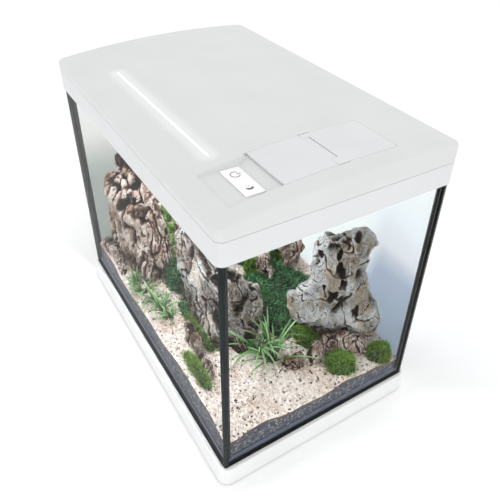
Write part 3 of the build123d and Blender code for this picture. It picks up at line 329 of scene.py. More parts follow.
def makeLeaf(name, dark, light, tipAndHighlight):
    # living leaf: waxy, lighter towards its tip, where the "along" attribute is 1, and each leaf a tone of its own; the
    # tip colour is the leaf's own, and on grass also a painted highlight, and painted shade darkens each leaf towards
    # its root
    material, tree, output = newMaterial(name)
    along = addNode(tree, "ShaderNodeAttribute", {"attribute_name": "along"}).outputs["Fac"]
    own = addNode(tree, "ShaderNodeAttribute", {"attribute_name": "grain"}).outputs["Fac"]
    place = addNode(tree, "ShaderNodeTexCoord").outputs["Object"]
    tuft = noiseAt(tree, place, 7)
    tone = addNode(tree, "ShaderNodeMath", {"operation": "MULTIPLY_ADD"}, {0: tuft, 1: 1.6, 2: -0.55}).outputs[0]
    tone = addNode(tree, "ShaderNodeMath", {"operation": "MULTIPLY_ADD"}, {0: own, 1: 0.6, 2: tone}).outputs[0]
    body = colourRamp(tree, tone, [(0.15, dark), (0.75, light)])
    reach = addNode(tree, "ShaderNodeMath", {"operation": "POWER"}, {0: along, 1: 1.6}).outputs[0]
    reach = addNode(tree, "ShaderNodeMath", {"operation": "MULTIPLY"}, {0: reach, 1: own}).outputs[0]
    colour = addNode(tree, "ShaderNodeMix", {"data_type": "RGBA"}, {0: reach, 6: body, 7: toLinear(tipAndHighlight)})
    # painted shade: each leaf is darker towards its root
    root = colourRamp(tree, along, [(0.0, "#4A4A4A"), (0.5, "#FFFFFF")])
    colour = addNode(tree, "ShaderNodeMix", {"data_type": "RGBA", "blend_type": "MULTIPLY"}, {
        0: 1.0, 6: colour.outputs[2], 7: root})
    shader = addNode(tree, "ShaderNodeBsdfPrincipled", inputs={
        "Base Color": colour.outputs[2], "Roughness": 0.55, "Subsurface Weight": 0.1, "Subsurface Scale": 0.002})
    finishWith(tree, output, shader)
    return material


whiteAbs = makeMouldedWhiteAbs("mouldedWhiteAbs", "#D8DADB", "#DDDFE0")
hoodAbs = makeMouldedWhiteAbs("mouldedHoodAbs", "#D6D7D7", "#DADBDB", litByStrip=True)
baseAbs = makeMouldedWhiteAbs("mouldedBaseAbs", "#EAEBEB", "#EFF0F0")
keyAbs = makePolishedWhiteAbs()
clearPane = makeFloatGlass("clearFloatGlass", [(40, "#FAFCFB"), (320, "#FBFDFC")])
# painted shade and painted reflection: the back and end panes are painted darker towards the bottom
shadedBackPane = makeFloatGlass("backFloatGlass", [
    (50, "#9AA5B4"), (97, "#A0ADBB"), (143, "#A9B5C7"), (165, "#C6CCD8"), (182, "#DFE2E8"), (232, "#EDF4F9"),
    (290, "#F6FAFB")], lessShadeLeftOf=50)
shadedEndPane = makeFloatGlass("endFloatGlass", [
    (50, "#A9AFAA"), (160, "#AAB0AC"), (188, "#BABEBB"), (212, "#CFD1CE"), (242, "#E8E9E7"), (290, "#F2F3F2")])
groundEdge = makeGroundEdge()
siliconeBlack = makeTwoTone("curedBlackSilicone", "#080A0C", "#101315", 12, 0.5, 0.1)
siliconeGrey = makeTwoTone("curedGreySilicone", "#5A6070", "#70778A", 9, 0.5, 0.15)
foamBlack = makeTwoTone("closedCellFoam", "#0B0B0C", "#191A1B", 0.8, 0.9, 0.2)
greyRubber = makeTwoTone("mouldedGreyRubber", "#56595A", "#63676A", 1.5, 0.8, 0.1)
blackAbs = makeTwoTone("mouldedBlackAbs", "#141516", "#1D1E20", 1.0, 0.5, 0.03)
boardMask = makeTwoTone("whiteSolderMask", "#E4E7E4", "#EDEFED", 3, 0.35, 0.02)
pinSteel = makeTwoTone("drawnSteel", "#A9A9AB", "#C4C4C6", 0.5, 0.3, 0.02, 1.0, (0.05, 1, 1))
barAluminium = makeTwoTone("anodisedAluminium", "#B4B7BA", "#C6C9CB", 0.4, 0.4, 0.02, 1.0, (0.05, 1, 1))
ledPhosphor = makeTwoTone("ledPhosphor", "#E8D56A", "#F2E38C", 0.8, 0.4, 0.05)
litStrip = makeLitStrip()
litDiffuser = makeLitOpal("litOpalDiffuser", "#F7FAFF", 42.0)
gravelStone = makeGravelStone("crushedQuartzGravel", True)
gravelBedding = makeGravelStone("packedQuartzGravel", False)
claySoil = makeSoil()
brownStone = makeDragonStone(
    "brownDragonStone", ("#140D0A", "#40281A", "#6E4C36", "#7E6C62", "#A8968A", "#E2D6CE"), "#A5794F", 0.75)
greyStone = makeDragonStone(
    "greyDragonStone", ("#15110E", "#40301F", "#6E6152", "#8D8A88", "#B2AFAE", "#E2DEDA"), "#B58B5E", 0.5)
paleStone = makeDragonStone(
    "paleDragonStone", ("#231B16", "#634A32", "#8A847A", "#A6A8A8", "#C4C5C8", "#E8E6E2"), "#C9A874", 0.65)
mossLeaf = makeLeaf("cushionMoss", "#1F4A0C", "#5E9A1E", "#C4E860")
carpetLeaf = makeLeaf("carpetPlant", "#0B331F", "#2A6E3A", "#7FBF78")
# the grass's near-white tip colour is a painted highlight
grassLeaf = makeLeaf("grassBlade", "#235F17", "#5AA036", "#DDF2CC")
signInk = makeTwoTone("printedSignInk", "#6D6076", "#7A6D84", 2, 0.5, 0.01)

cadFinishes = {
    whiteAbs: ["lid_frame", "feed_flap", "flap_deck"],
    hoodAbs: ["lid_hood"],
    baseAbs: ["plinth"],
    keyAbs: ["control_key"],
    siliconeBlack: ["corner_silicone", "cable_grommet"],
    siliconeGrey: ["floor_silicone"],
    foamBlack: ["foam_mat"],
    greyRubber: ["rubber_feet", "hood_buffers"],
    blackAbs: ["control_box", "light_caps", "tact_switches"],
    boardMask: ["led_board", "control_board"],
    pinSteel: ["hinge_pins", "flap_pin", "key_pin", "light_screws"],
    barAluminium: ["light_channel"],
    ledPhosphor: ["led_chips"],
    litStrip: ["glow_strip"],
    litDiffuser: ["light_diffuser"],
}
for finish, names in cadFinishes.items():
    for name in names:
        slots = nodes[name].data.materials
        if not slots:
            slots.append(finish)
        for index in range(len(slots)):
            slots[index] = finish
print("materials done")


# glass panes with ground edges

paneSettings = {"bevel": 0.5 * mm, "groundCorner": 2 * mm}


def makePane(node, face, thinAxis, outward=0, edge=None):
    low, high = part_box(node)
    form = bmesh.new()
    bmesh.ops.create_cube(form, size=1.0)
    size = high - low
    middle = (high + low) / 2
    for vert in form.verts:
        vert.co = Vector(vert.co[i] * size[i] + middle[i] for i in range(3))
    if outward:
        # the long panes' outer upright corners are ground flat
        upright = [e for e in form.edges
                   if abs(e.verts[0].co.z - e.verts[1].co.z) > size.z / 2
                   and (e.verts[0].co.y - middle.y) * outward > 0]
        bmesh.ops.bevel(form, geom=upright, offset=paneSettings["groundCorner"], segments=1, affect="EDGES")
    bmesh.ops.bevel(form, geom=form.edges[:], offset=paneSettings["bevel"], segments=1, affect="EDGES")
    bmesh.ops.recalc_face_normals(form, faces=form.faces)
    mesh = bpy.data.meshes.new(node + "_pane")
    form.normal_update()
    for item in form.faces:
        item.material_index = 0 if abs(item.normal[thinAxis]) > 0.99 else 1
    form.to_mesh(mesh)
    form.free()
    mesh.materials.append(face)
    mesh.materials.append(edge or groundEdge)
    pane = bpy.data.objects.new(node + "_pane", mesh)
    bpy.context.scene.collection.objects.link(pane)
    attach(pane, "tank")
    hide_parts(node)


makePane("front_glass", clearPane, 1, -1)
makePane("back_glass", shadedBackPane, 1, 1)
makePane("left_glass", shadedEndPane, 0)
makePane("right_glass", clearPane, 0)
makePane("floor_glass", clearPane, 2, edge=siliconeGrey)
print("glass done")


# planted bed: one height for each place, from a few levels that the bed is raked to

bedSettings = {
    "rake": [
        (196, -118, 60), (196, -79, 66), (196, -38, 58), (196, 3, 56), (196, 37, 61), (196, 70, 56), (196, 114, 50),
        (-190, -121, 62), (-135, -121, 67), (-96, -121, 58), (10, -121, 64), (98, -121, 72), (150, -121, 71),
        (-100, 0, 62), (0, 0, 63), (100, -60, 63), (150, 0, 62), (-100, 110, 60), (20, 110, 62), (120, 110, 60)],
    "columns": 150,
    "rows": 96,
    "lumps": 1.4,
    "gap": 0.8,
}


def rakedHeight(x, y):
    # all in mm
    total, weight = 0.0, 0.0
    for px, py, pz in bedSettings["rake"]:
        pull = 1 / ((x - px) ** 2 + (y - py) ** 2 + 60) ** 1.5
        total += pz * pull
        weight += pull
    return total / weight + bedSettings["lumps"] * noise.noise(Vector((x / 14, y / 14, 3)))


def makeBed():
    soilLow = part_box("soil_bed")[0]
    gravelLow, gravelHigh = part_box("gravel_bed")
    columns, rows = bedSettings["columns"], bedSettings["rows"]
    xs = np.linspace(gravelLow.x, gravelHigh.x, columns)
    ys = np.linspace(gravelLow.y, gravelHigh.y, rows)
    verts = [(x, y, rakedHeight(x / mm, y / mm) * mm) for y in ys for x in xs]
    under = [0.0] * len(verts)
    faces = [(r * columns + c, r * columns + c + 1, (r + 1) * columns + c + 1, (r + 1) * columns + c)
             for r in range(rows - 1) for c in range(columns - 1)]
    slots = [1] * len(faces)
    rim = [c for c in range(columns)]
    rim += [r * columns + columns - 1 for r in range(1, rows)]
    rim += [(rows - 1) * columns + c for c in range(columns - 2, -1, -1)]
    rim += [r * columns for r in range(rows - 2, 0, -1)]
    above = rim
    levels = [1.5, 3, 6, None]
    for level in levels:
        below = []
        for index in rim:
            x, y, z = verts[index]
            lower = soilLow.z if level is None else z - level * mm
            below.append(len(verts))
            verts.append((x, y, lower))
            under.append(z - lower)
        for i in range(len(rim)):
            j = (i + 1) % len(rim)
            faces.append((above[i], below[i], below[j], above[j]))
            slots.append(0)
        above = below
    faces.append(tuple(reversed(above)))
    slots.append(0)
    bed = meshPiece("planted_soil", verts, faces, [claySoil, gravelBedding], slots, smooth=False)
    bed.data.attributes.new("under", "FLOAT", "POINT").data.foreach_set("value", under)
    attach(bed, "tank")
    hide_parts("soil_bed", "gravel_bed")


makeBed()
print("bed done")


# scattering by Geometry Nodes

def makeScatterTree():
    tree = bpy.data.node_groups.new("scatterPieces", "GeometryNodeTree")
    face = tree.interface
    face.new_socket("Geometry", in_out="INPUT", socket_type="NodeSocketGeometry")
    face.new_socket("Piece", in_out="INPUT", socket_type="NodeSocketObject")
    face.new_socket("Finish", in_out="INPUT", socket_type="NodeSocketMaterial")
    for name, kind in (("Per Square Metre", "Float"), ("Seed", "Int"), ("Smallest", "Float"),
                       ("Largest", "Float"), ("Lean", "Float"), ("Sink", "Float")):
        face.new_socket(name, in_out="INPUT", socket_type="NodeSocket" + kind)
    face.new_socket("Geometry", in_out="OUTPUT", socket_type="NodeSocketGeometry")
    given = addNode(tree, "NodeGroupInput").outputs
    spots = addNode(tree, "GeometryNodeDistributePointsOnFaces", inputs={
        "Mesh": given["Geometry"], "Density": given["Per Square Metre"], "Seed": given["Seed"]})
    shape = addNode(tree, "GeometryNodeObjectInfo", inputs={"Object": given["Piece"]})
    size = addNode(tree, "FunctionNodeRandomValue", {"data_type": "FLOAT"}, {
        2: given["Smallest"], 3: given["Largest"], "Seed": given["Seed"]})
    lower = addNode(tree, "ShaderNodeVectorMath", {"operation": "SCALE"}, {0: (1, 1, 1), "Scale": given["Lean"]})
    minus = addNode(tree, "ShaderNodeVectorMath", {"operation": "SCALE"}, {0: lower.outputs[0], "Scale": -1.0})
    turn = addNode(tree, "FunctionNodeRandomValue", {"data_type": "FLOAT_VECTOR"}, {
        0: minus.outputs[0], 1: lower.outputs[0], "Seed": 7})
    spin = addNode(tree, "FunctionNodeRandomValue", {"data_type": "FLOAT"}, {2: 0.0, 3: 2 * math.pi, "Seed": 11})
    spinVector = addNode(tree, "ShaderNodeCombineXYZ", inputs={"Z": spin.outputs[1]})
    euler = addNode(tree, "ShaderNodeVectorMath", {"operation": "ADD"}, {0: turn.outputs[0], 1: spinVector.outputs[0]})
    drop = addNode(tree, "ShaderNodeCombineXYZ", inputs={"Z": given["Sink"]})
    lowered = addNode(tree, "GeometryNodeSetPosition", inputs={
        "Geometry": spots.outputs["Points"], "Offset": drop.outputs[0]})
    tint = addNode(tree, "FunctionNodeRandomValue", {"data_type": "FLOAT"}, {2: 0.0, 3: 1.0, "Seed": 23})
    marked = addNode(tree, "GeometryNodeStoreNamedAttribute", {"data_type": "FLOAT", "domain": "POINT"}, {
        "Geometry": lowered.outputs[0], "Name": "grain", "Value": tint.outputs[1]})
    placed = addNode(tree, "GeometryNodeInstanceOnPoints", inputs={
        "Points": marked.outputs[0], "Instance": shape.outputs["Geometry"],
        "Rotation": euler.outputs[0], "Scale": size.outputs[1]})
    real = addNode(tree, "GeometryNodeRealizeInstances", inputs={"Geometry": placed.outputs[0]})
    finished = addNode(tree, "GeometryNodeSetMaterial", inputs={
        "Geometry": real.outputs[0], "Material": given["Finish"]})
    addNode(tree, "NodeGroupOutput", inputs={"Geometry": finished.outputs[0]})
    return tree


scatterTree = makeScatterTree()


def scatter(name, ground, piece, finish, settings):
    # ground and piece are helpers: they are removed once the result is a plain mesh
    holder = bpy.data.objects.new(name + "_ground", ground)
    bpy.context.scene.collection.objects.link(holder)
    modifier = holder.modifiers.new("scatter", "NODES")
    modifier.node_group = scatterTree
    given = {"Piece": piece, "Finish": finish, **settings}
    for item in scatterTree.interface.items_tree:
        if item.in_out == "INPUT" and item.name in given:
            modifier[item.identifier] = given[item.name]
    bpy.context.view_layer.update()
    evaluated = holder.evaluated_get(bpy.context.evaluated_depsgraph_get())
    mesh = bpy.data.meshes.new_from_object(evaluated)
    mesh.name = name
    bpy.data.objects.remove(holder)
    result = bpy.data.objects.new(name, mesh)
    bpy.context.scene.collection.objects.link(result)
    return result


def helperObject(name, verts, faces, attributes=None):
    helper = meshPiece(name, verts, faces, [], smooth=False)
    for key, values in (attributes or {}).items():
        helper.data.attributes.new(key, "FLOAT", "POINT").data.foreach_set("value", values)
    helper.hide_render = True
    return helper


# gravel

gravelSettings = {
    "grain": 1.9 * mm,         # half size of a grain
    "Per Square Metre": 88000.0,
    "Seed": 4,
    "Smallest": 0.55,
    "Largest": 1.15,
    "Lean": math.pi,
    "Sink": 0.0003,
}


def crushedGrain(seed, radius):
    # a chipped grain of twenty faces
    form = bmesh.new()
    bmesh.ops.create_icosphere(form, subdivisions=1, radius=radius)
    dice = random.Random(seed)
    for vert in form.verts:
        vert.co *= dice.uniform(0.72, 1.2)
        vert.co.z *= 0.72
    verts = [tuple(v.co) for v in form.verts]
    faces = [[v.index for v in f.verts] for f in form.faces]
    form.free()
    return helperObject("grain_helper", verts, faces)


def groundPatch(xFrom, xTo, yFrom, yTo, step=6.0):
    columns = max(2, int((xTo - xFrom) / step))
    rows = max(2, int((yTo - yFrom) / step))
    verts = [(x * mm, y * mm, rakedHeight(x, y) * mm)
             for y in np.linspace(yFrom, yTo, rows) for x in np.linspace(xFrom, xTo, columns)]
    faces = [(r * columns + c, r * columns + c + 1, (r + 1) * columns + c + 1, (r + 1) * columns + c)
             for r in range(rows - 1) for c in range(columns - 1)]
    mesh = bpy.data.meshes.new("ground")
    mesh.from_pydata(verts, [], faces)
    return mesh


def makeGravel():
    grain = crushedGrain(3, gravelSettings["grain"])
    settings = {k: v for k, v in gravelSettings.items() if k != "grain"}
    gravel = scatter("crushed_gravel", groundPatch(-192.5, 192.5, -117.5, 117.5), grain, gravelStone, settings)
    bpy.data.objects.remove(grain)
    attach(gravel, "tank")
    print("gravel triangles", sum(len(p.vertices) - 2 for p in gravel.data.polygons))


makeGravel()


# stones: a few leaning lumps melted into one, then weathered into hollows, rims and cracks, with painted shade
# darkening the hollows and cracks

def lumpVerts(form, lump):
    # centre, half sizes, turn about Z and lean towards +X, all in mm and degrees
    x, y, z, halfX, halfY, halfZ, turn, lean = lump
    made = bmesh.ops.create_icosphere(form, subdivisions=4, radius=1.0)["verts"]
    place = (Matrix.Translation(Vector((x, y, z)) * mm) @ Matrix.Rotation(math.radians(turn), 4, "Z")
             @ Matrix.Rotation(math.radians(lean), 4, "Y") @ Matrix.Diagonal((halfX * mm, halfY * mm, halfZ * mm, 1)))
    for vert in made:
        # squarer than a ball, as split stone is
        vert.co = place @ Vector(math.copysign(abs(c) ** 0.72, c) for c in vert.co)


def meltLumps(lumps, grid):
    form = bmesh.new()
    for lump in lumps:
        lumpVerts(form, lump)
    mesh = bpy.data.meshes.new("lumps")
    form.to_mesh(mesh)
    form.free()
    holder = bpy.data.objects.new("lumps", mesh)
    bpy.context.scene.collection.objects.link(holder)
    melt = holder.modifiers.new("melt", "REMESH")
    melt.mode = "VOXEL"
    melt.voxel_size = grid * mm
    soften = holder.modifiers.new("soften", "SMOOTH")
    soften.iterations = 6
    bpy.context.view_layer.update()
    evaluated = holder.evaluated_get(bpy.context.evaluated_depsgraph_get())
    melted = bpy.data.meshes.new_from_object(evaluated)
    bpy.data.objects.remove(holder)
    return melted


def smoothStep(low, high, value):
    part = min(1.0, max(0.0, (value - low) / (high - low)))
    return part * part * (3 - 2 * part)


def crevice(where, width):
    # clefts run where the noise crosses zero, with a worn rim beside them; their darkness is painted shade
    value = abs(noise.noise(where))
    return max(0.0, 1 - value / width), math.exp(-((value - 2.2 * width) / width) ** 2)


def weatherAt(point, settings):
    # how far the surface is pushed out, in mm, and a tone from 0 in a hollow to 1 on a rim: worn rims are paler, and
    # hollows and clefts are darkened with painted shade
    seed = Vector((settings["seed"], 0, 0))
    warped = point + settings["warp"] * noise.noise_vector(point / settings["warpSize"] + seed)
    warped += 0.3 * settings["warp"] * noise.noise_vector(point / (0.35 * settings["warpSize"]) - seed)
    drawn = Vector((warped.x + settings["slant"] * warped.z, warped.y, warped.z * settings["stretch"]))
    near, centres = noise.voronoi(drawn / settings["cell"] + seed)
    rim = near[1] - near[0]
    chance = (math.sin(centres[0].dot(Vector((12.99, 78.23, 37.72)))) * 43758.5) % 1.0
    hollow = smoothStep(0.03, 0.4, rim) * (chance if chance > settings["whole"] else 0.0)
    # a hollow is pushed in and darkened with painted shade
    push, wearAndShade = -settings["hollow"] * hollow, 0.56 - 0.8 * hollow
    size, share = settings["ridge"], 1.0
    for octave in range(3):
        cleft, worn = crevice(drawn / size + (octave + 1) * seed, settings["cleftWidth"])
        push -= share * settings["cleft"] * cleft
        # clefts are darkened with painted shade, the worn rims beside them made paler
        wearAndShade += share * (settings["worn"] * worn - 0.75 * cleft)
        size *= 0.46
        share *= 0.62
    push += settings["rough"] * noise.noise(point / settings["broad"] + seed)
    push += 0.3 * settings["rough"] * noise.noise(drawn / (0.5 * settings["ridge"]) - seed)
    push += settings["grit"] * (noise.noise(point / 5.5) + 0.6 * noise.noise(point / 2.4))
    wearAndShade += 0.3 * noise.noise(point / 20 + seed)
    return push, wearAndShade


def makeStone(name, node, settings, finish):
    mesh = meltLumps(settings["lumps"], settings["grid"])
    mesh.name = name
    normals = [v.normal.copy() for v in mesh.vertices]
    depths = []
    for vert, normal in zip(mesh.vertices, normals):
        point = vert.co / mm
        push, wearAndShade = weatherAt(point, settings)
        for x, y, z, radius, tall, depth in settings.get("holes", []):
            off = point - Vector((x, y, z)) + 5 * noise.noise_vector(point / 9)
            inward = off.dot(holeAxis)
            off -= holeAxis * inward
            away = math.hypot(math.hypot(off.x, off.y) / radius, off.z / tall)
            if away < 1 and abs(inward) < 24:
                # a hole is pushed in and darkened with painted shade
                push -= depth * (1 - away ** 4)
                wearAndShade -= 1.1 * (1 - away ** 6)
        wearAndShade -= settings["darkTop"] * smoothStep(-3, 3, point.z - settings["darkAbove"])
        # painted shade: darker towards the foot, below darkBelow
        wearAndShade -= settings["darkFoot"] * smoothStep(0, 30, settings["darkBelow"] - point.z)
        depths.append(wearAndShade)
        vert.co = (point + normal * push) * mm
    mesh.attributes.new("depth", "FLOAT", "POINT").data.foreach_set("value", depths)
    mesh.materials.append(finish)
    mesh.polygons.foreach_set("use_smooth", [False] * len(mesh.polygons))
    mesh.update()
    stone = bpy.data.objects.new(name, mesh)
    bpy.context.scene.collection.objects.link(stone)
    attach(stone, "tank")
    if node:
        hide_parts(node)
    print(name, "triangles", 2 * len(mesh.polygons))


holeAxis = Vector((0.67, -0.45, 0.59)).normalized()      # the holes are washed in from the open corner

stoneWear = {
    "grid": 1.15, "warp": 3.5, "warpSize": 15.0, "slant": 0.0, "stretch": 0.4, "cell": 14.0, "whole": 0.7,
    "hollow": 6.0, "ridge": 15.0, "broad": 24.0, "rough": 9.0, "cleftWidth": 0.07, "cleft": 3.6, "worn": 0.25,
    "grit": 1.3,
    "darkAbove": 400, "darkTop": 0.0, "darkBelow": 60, "darkFoot": 0.0,
}
leftStone = {
    **stoneWear, "seed": 2.3, "stretch": 0.17, "slant": -0.2, "cell": 13.0, "whole": 0.86, "rough": 7.0, "darkAbove": 203,
    "darkTop": 0.75, "cleftWidth": 0.1, "cleft": 4.4, "worn": 0.34, "darkBelow": 110, "darkFoot": 0.3,
    "lumps": [(-128, -74, 88, 56, 30, 42, 6, 0), (-138, -76, 136, 44, 30, 56, 4, -4), (-152, -84, 166, 26, 22, 26, 0, -8),
              (-152, -88, 110, 24, 20, 56, 0, 0), (-92, -62, 112, 24, 22, 56, 0, -10), (-102, -60, 160, 20, 18, 36, 0, -14),
              (-84, -84, 78, 16, 14, 24, 0, 0), (-126, -66, 186, 22, 16, 22, 0, -10), (-158, -78, 204, 13, 9, 12, 0, 0),
              (-146, -74, 212, 8, 7, 22, 0, 20)],
    "holes": [(-103, -88, 176, 4, 26, 9), (-92, -86, 150, 4, 24, 8), (-120, -102, 168, 5, 18, 7)],
}
middleStone = {
    **stoneWear, "seed": 6.1, "stretch": 0.42, "slant": 0.6, "cell": 20.0, "whole": 0.55, "hollow": 7.0, "rough": 7.0,
    "darkBelow": 100, "darkFoot": 0.45,
    "lumps": [(30, -52, 70, 56, 22, 30, -6, 0), (10, -50, 110, 38, 20, 52, -6, -14), (-18, -54, 140, 18, 15, 36, 0, -8),
              (44, -38, 112, 34, 18, 36, 20, -24), (28, -42, 142, 24, 14, 30, 10, -30), (60, -8, 102, 13, 11, 18, 50, -14),
              (60, -20, 80, 22, 18, 26, 50, 0), (84, -38, 68, 18, 16, 18, 0, 0)],
    "holes": [(58, -58, 150, 5, 18, 9), (84, -44, 118, 5, 12, 8), (-6, -72, 120, 4, 34, 8)],
}
rightStone = {
    **stoneWear, "seed": 9.7, "stretch": 0.6, "slant": -0.45, "cell": 18.0, "whole": 0.66, "hollow": 9.0,
    "rough": 8.0, "ridge": 22.0, "cleft": 1.9, "cleftWidth": 0.04, "worn": 0.16, "darkBelow": 96, "darkFoot": 0.3,
    "lumps": [(124, 67, 118, 33, 22, 54, 56, 0), (129, 64, 170, 32, 19, 36, 56, 0), (118, 48, 184, 12, 12, 22, 56, 0),
              (124, 55, 204, 15, 13, 14, 56, 0), (133, 70, 202, 24, 14, 18, 56, 0), (140, 80, 212, 17, 11, 12, 56, 10),
              (113, 18, 128, 10, 10, 12, 40, 10), (114, 34, 118, 16, 15, 28, 50, 0), (156, 92, 106, 15, 13, 30, 50, 0),
              (145, 82, 112, 20, 16, 40, 50, 0), (114, 62, 80, 32, 20, 20, 56, 0)],
    "holes": [(141, 52, 199, 4, 11, 10), (142, 55, 179, 6, 18, 16), (145, 58, 158, 5, 16, 15), (142, 48, 139, 6, 20, 10),
              (148, 71, 225, 5, 8, 7), (127, 35, 200, 4, 9, 6), (134, 39, 158, 3, 9, 6), (160, 70, 126, 5, 16, 9)],
}
makeStone("left_dragon_stone", "stone_left", leftStone, brownStone)
makeStone("middle_dragon_stone", "stone_middle", middleStone, greyStone)
makeStone("right_dragon_stone", "stone_right", rightStone, paleStone)

smallStones = {
    **stoneWear, "grid": 0.9, "cell": 12.0, "whole": 0.8, "hollow": 2.0, "rough": 4.0, "ridge": 10.0, "cleft": 1.6,
    "broad": 14.0,
    "spots": {
        "rear_left": [(-34, 58, 80, 9, 9, 24, 20, -14), (-8, 48, 82, 15, 7, 28, -10, 10), (6, 50, 74, 10, 7, 14, 0, 0)],
        "rear_right": [(-14, 96, 94, 20, 8, 24, 30, 34), (-26, 104, 74, 14, 12, 16, 0, 0), (0, 90, 80, 12, 8, 18, 30, 20)],
        "front_right": [(154, 56, 72, 22, 9, 17, 62, 0), (164, 74, 70, 14, 9, 14, 62, 0)],
        "front_middle": [(152, 22, 72, 6, 8, 19, 60, 14), (146, 2, 68, 8, 8, 11, 0, 0), (140, -8, 66, 6, 5, 8, 0, 0)],
        "front_slab": [(82, -91, 68, 40, 4, 20, -8, 0), (52, -89, 74, 18, 5, 17, -12, -14)],
        "left_slab": [(-140, -110, 64, 34, 7, 14, -4, 10), (-170, -110, 66, 14, 8, 16, 0, 10)],
    },
}


def makeSmallStones():
    for index, (place, lumps) in enumerate(smallStones["spots"].items()):
        settings = {**smallStones, "lumps": lumps, "seed": 20.0 + 3.7 * index}
        makeStone("small_stone_" + place, "small_stones" if index == 0 else None, settings, brownStone)


makeSmallStones()
print("stones done")


# moss, carpet plants and grass

mossSettings = {
    "patches": [(172, 46, 20, 18, 17), (180, 99, 13, 16, 20), (120, 34, 20, 13, 15), (102, -106, 30, 6, 13),
                (48, -76, 34, 8, 18), (-22, 40, 12, 8, 26), (-30, 88, 10, 8, 40),
                (-68, -60, 3, 3, 12, 174), (-60, -60, 3, 3, 12, 164), (-53, -60, 3, 3, 12, 150),
                (-46, -60, 3, 3, 12, 136), (-41, -60, 3, 3, 14, 118)],
    "strand": 6.0 * mm,
    "Per Square Metre": 1000000.0, "Seed": 5, "Smallest": 0.4, "Largest": 1.3, "Lean": 0.9, "Sink": -0.0012,
}
carpetSettings = {
    "patches": [(34, 22, 50, 24, 15), (84, 14, 24, 14, 13), (6, 60, 44, 30, 16), (60, 40, 40, 26, 14),
                (-54, -56, 34, 15, 36), (-38, -44, 24, 14, 44), (10, -70, 30, 9, 12),
                (46, 82, 36, 24, 14), (-52, 52, 28, 22, 14)],
    "strand": 6.0 * mm,
    "Per Square Metre": 300000.0, "Seed": 8, "Smallest": 0.5, "Largest": 1.4, "Lean": 1.3, "Sink": -0.0012,
}


def strandHelper(name, length, width):
    # a bent three-sided spike, base at the origin
    verts, along = [], []
    for step, (height, bend, size) in enumerate(((0, 0, 1.0), (0.55, 0.08, 0.8), (1.0, 0.3, 0.0))):
        for corner in range(3 if size else 1):
            angle = 2 * math.pi * corner / 3
            verts.append((bend * length + size * width * math.cos(angle), size * width * math.sin(angle), height * length))
            along.append(height)
    faces = [(i, (i + 1) % 3, 3 + (i + 1) % 3, 3 + i) for i in range(3)]
    faces += [(3 + i, 3 + (i + 1) % 3, 6) for i in range(3)]
    faces += [(2, 1, 0)]
    return helperObject(name, verts, faces, {"along": along})


def domeMesh(patches, seed):
    # lumpy closed cushions on the bed
    verts, faces = [], []
    for x, y, halfLong, halfWide, height, *given in patches:
        start = len(verts)
        around, up = 40, 12
        level = given[0] if given else rakedHeight(x, y) - 2
        for ring in range(up):
            tilt = 0.5 * math.pi * ring / up
            for step in range(around):
                angle = 2 * math.pi * step / around
                lump = 1 + 0.22 * noise.noise(Vector((math.cos(angle) * 1.6, math.sin(angle) * 1.6, tilt + x + seed)))
                verts.append(((x + halfLong * lump * math.cos(angle) * math.cos(tilt)) * mm,
                              (y + halfWide * lump * math.sin(angle) * math.cos(tilt)) * mm,
                              (level + height * lump * math.sin(tilt)) * mm))
        verts.append((x * mm, y * mm, (level + height) * mm))
        verts.append((x * mm, y * mm, level * mm))
        peak, foot = len(verts) - 2, len(verts) - 1
        for ring in range(up - 1):
            for step in range(around):
                a = start + ring * around + step
                b = start + ring * around + (step + 1) % around
                faces.append((a, b, b + around, a + around))
        last = start + (up - 1) * around
        faces += [(last + s, last + (s + 1) % around, peak) for s in range(around)]
        faces += [(start + (s + 1) % around, start + s, foot) for s in range(around)]
    return verts, faces


def makeMoss(name, settings, finish, width, node=None):
    verts, faces = domeMesh(settings["patches"], settings["Seed"])
    cushion = meshPiece(name + "_cushions", verts, faces, [finish])
    # along is 0 all over the cushions, so they take the leaves' painted root shade
    cushion.data.attributes.new("along", "FLOAT", "POINT").data.foreach_set("value", [0.0] * len(verts))
    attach(cushion, "tank")
    if node:
        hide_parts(node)
    ground = bpy.data.meshes.new("ground")
    ground.from_pydata(verts, [], faces)
    strand = strandHelper(name + "_strand", settings["strand"], width)
    chosen = {k: v for k, v in settings.items() if k not in ("patches", "strand")}
    strands = scatter(name + "_strands", ground, strand, finish, chosen)
    bpy.data.objects.remove(strand)
    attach(strands, "tank")
    print(name, "triangles", sum(len(p.vertices) - 2 for p in strands.data.polygons))


makeMoss("moss", mossSettings, mossLeaf, 0.35 * mm, "moss_cushions")
makeMoss("carpet", carpetSettings, carpetLeaf, 0.8 * mm)

grassSettings = {
    "tufts": [(-84, -106, 26), (-60, -104, 30), (-36, -102, 34), (-12, -98, 32), (4, -96, 24),
              (108, -28, 56), (128, -20, 60), (104, -12, 50)],
    "blades": 15,
    "steps": 9,
    "width": 1.7 * mm,
    "seed": 12,
}


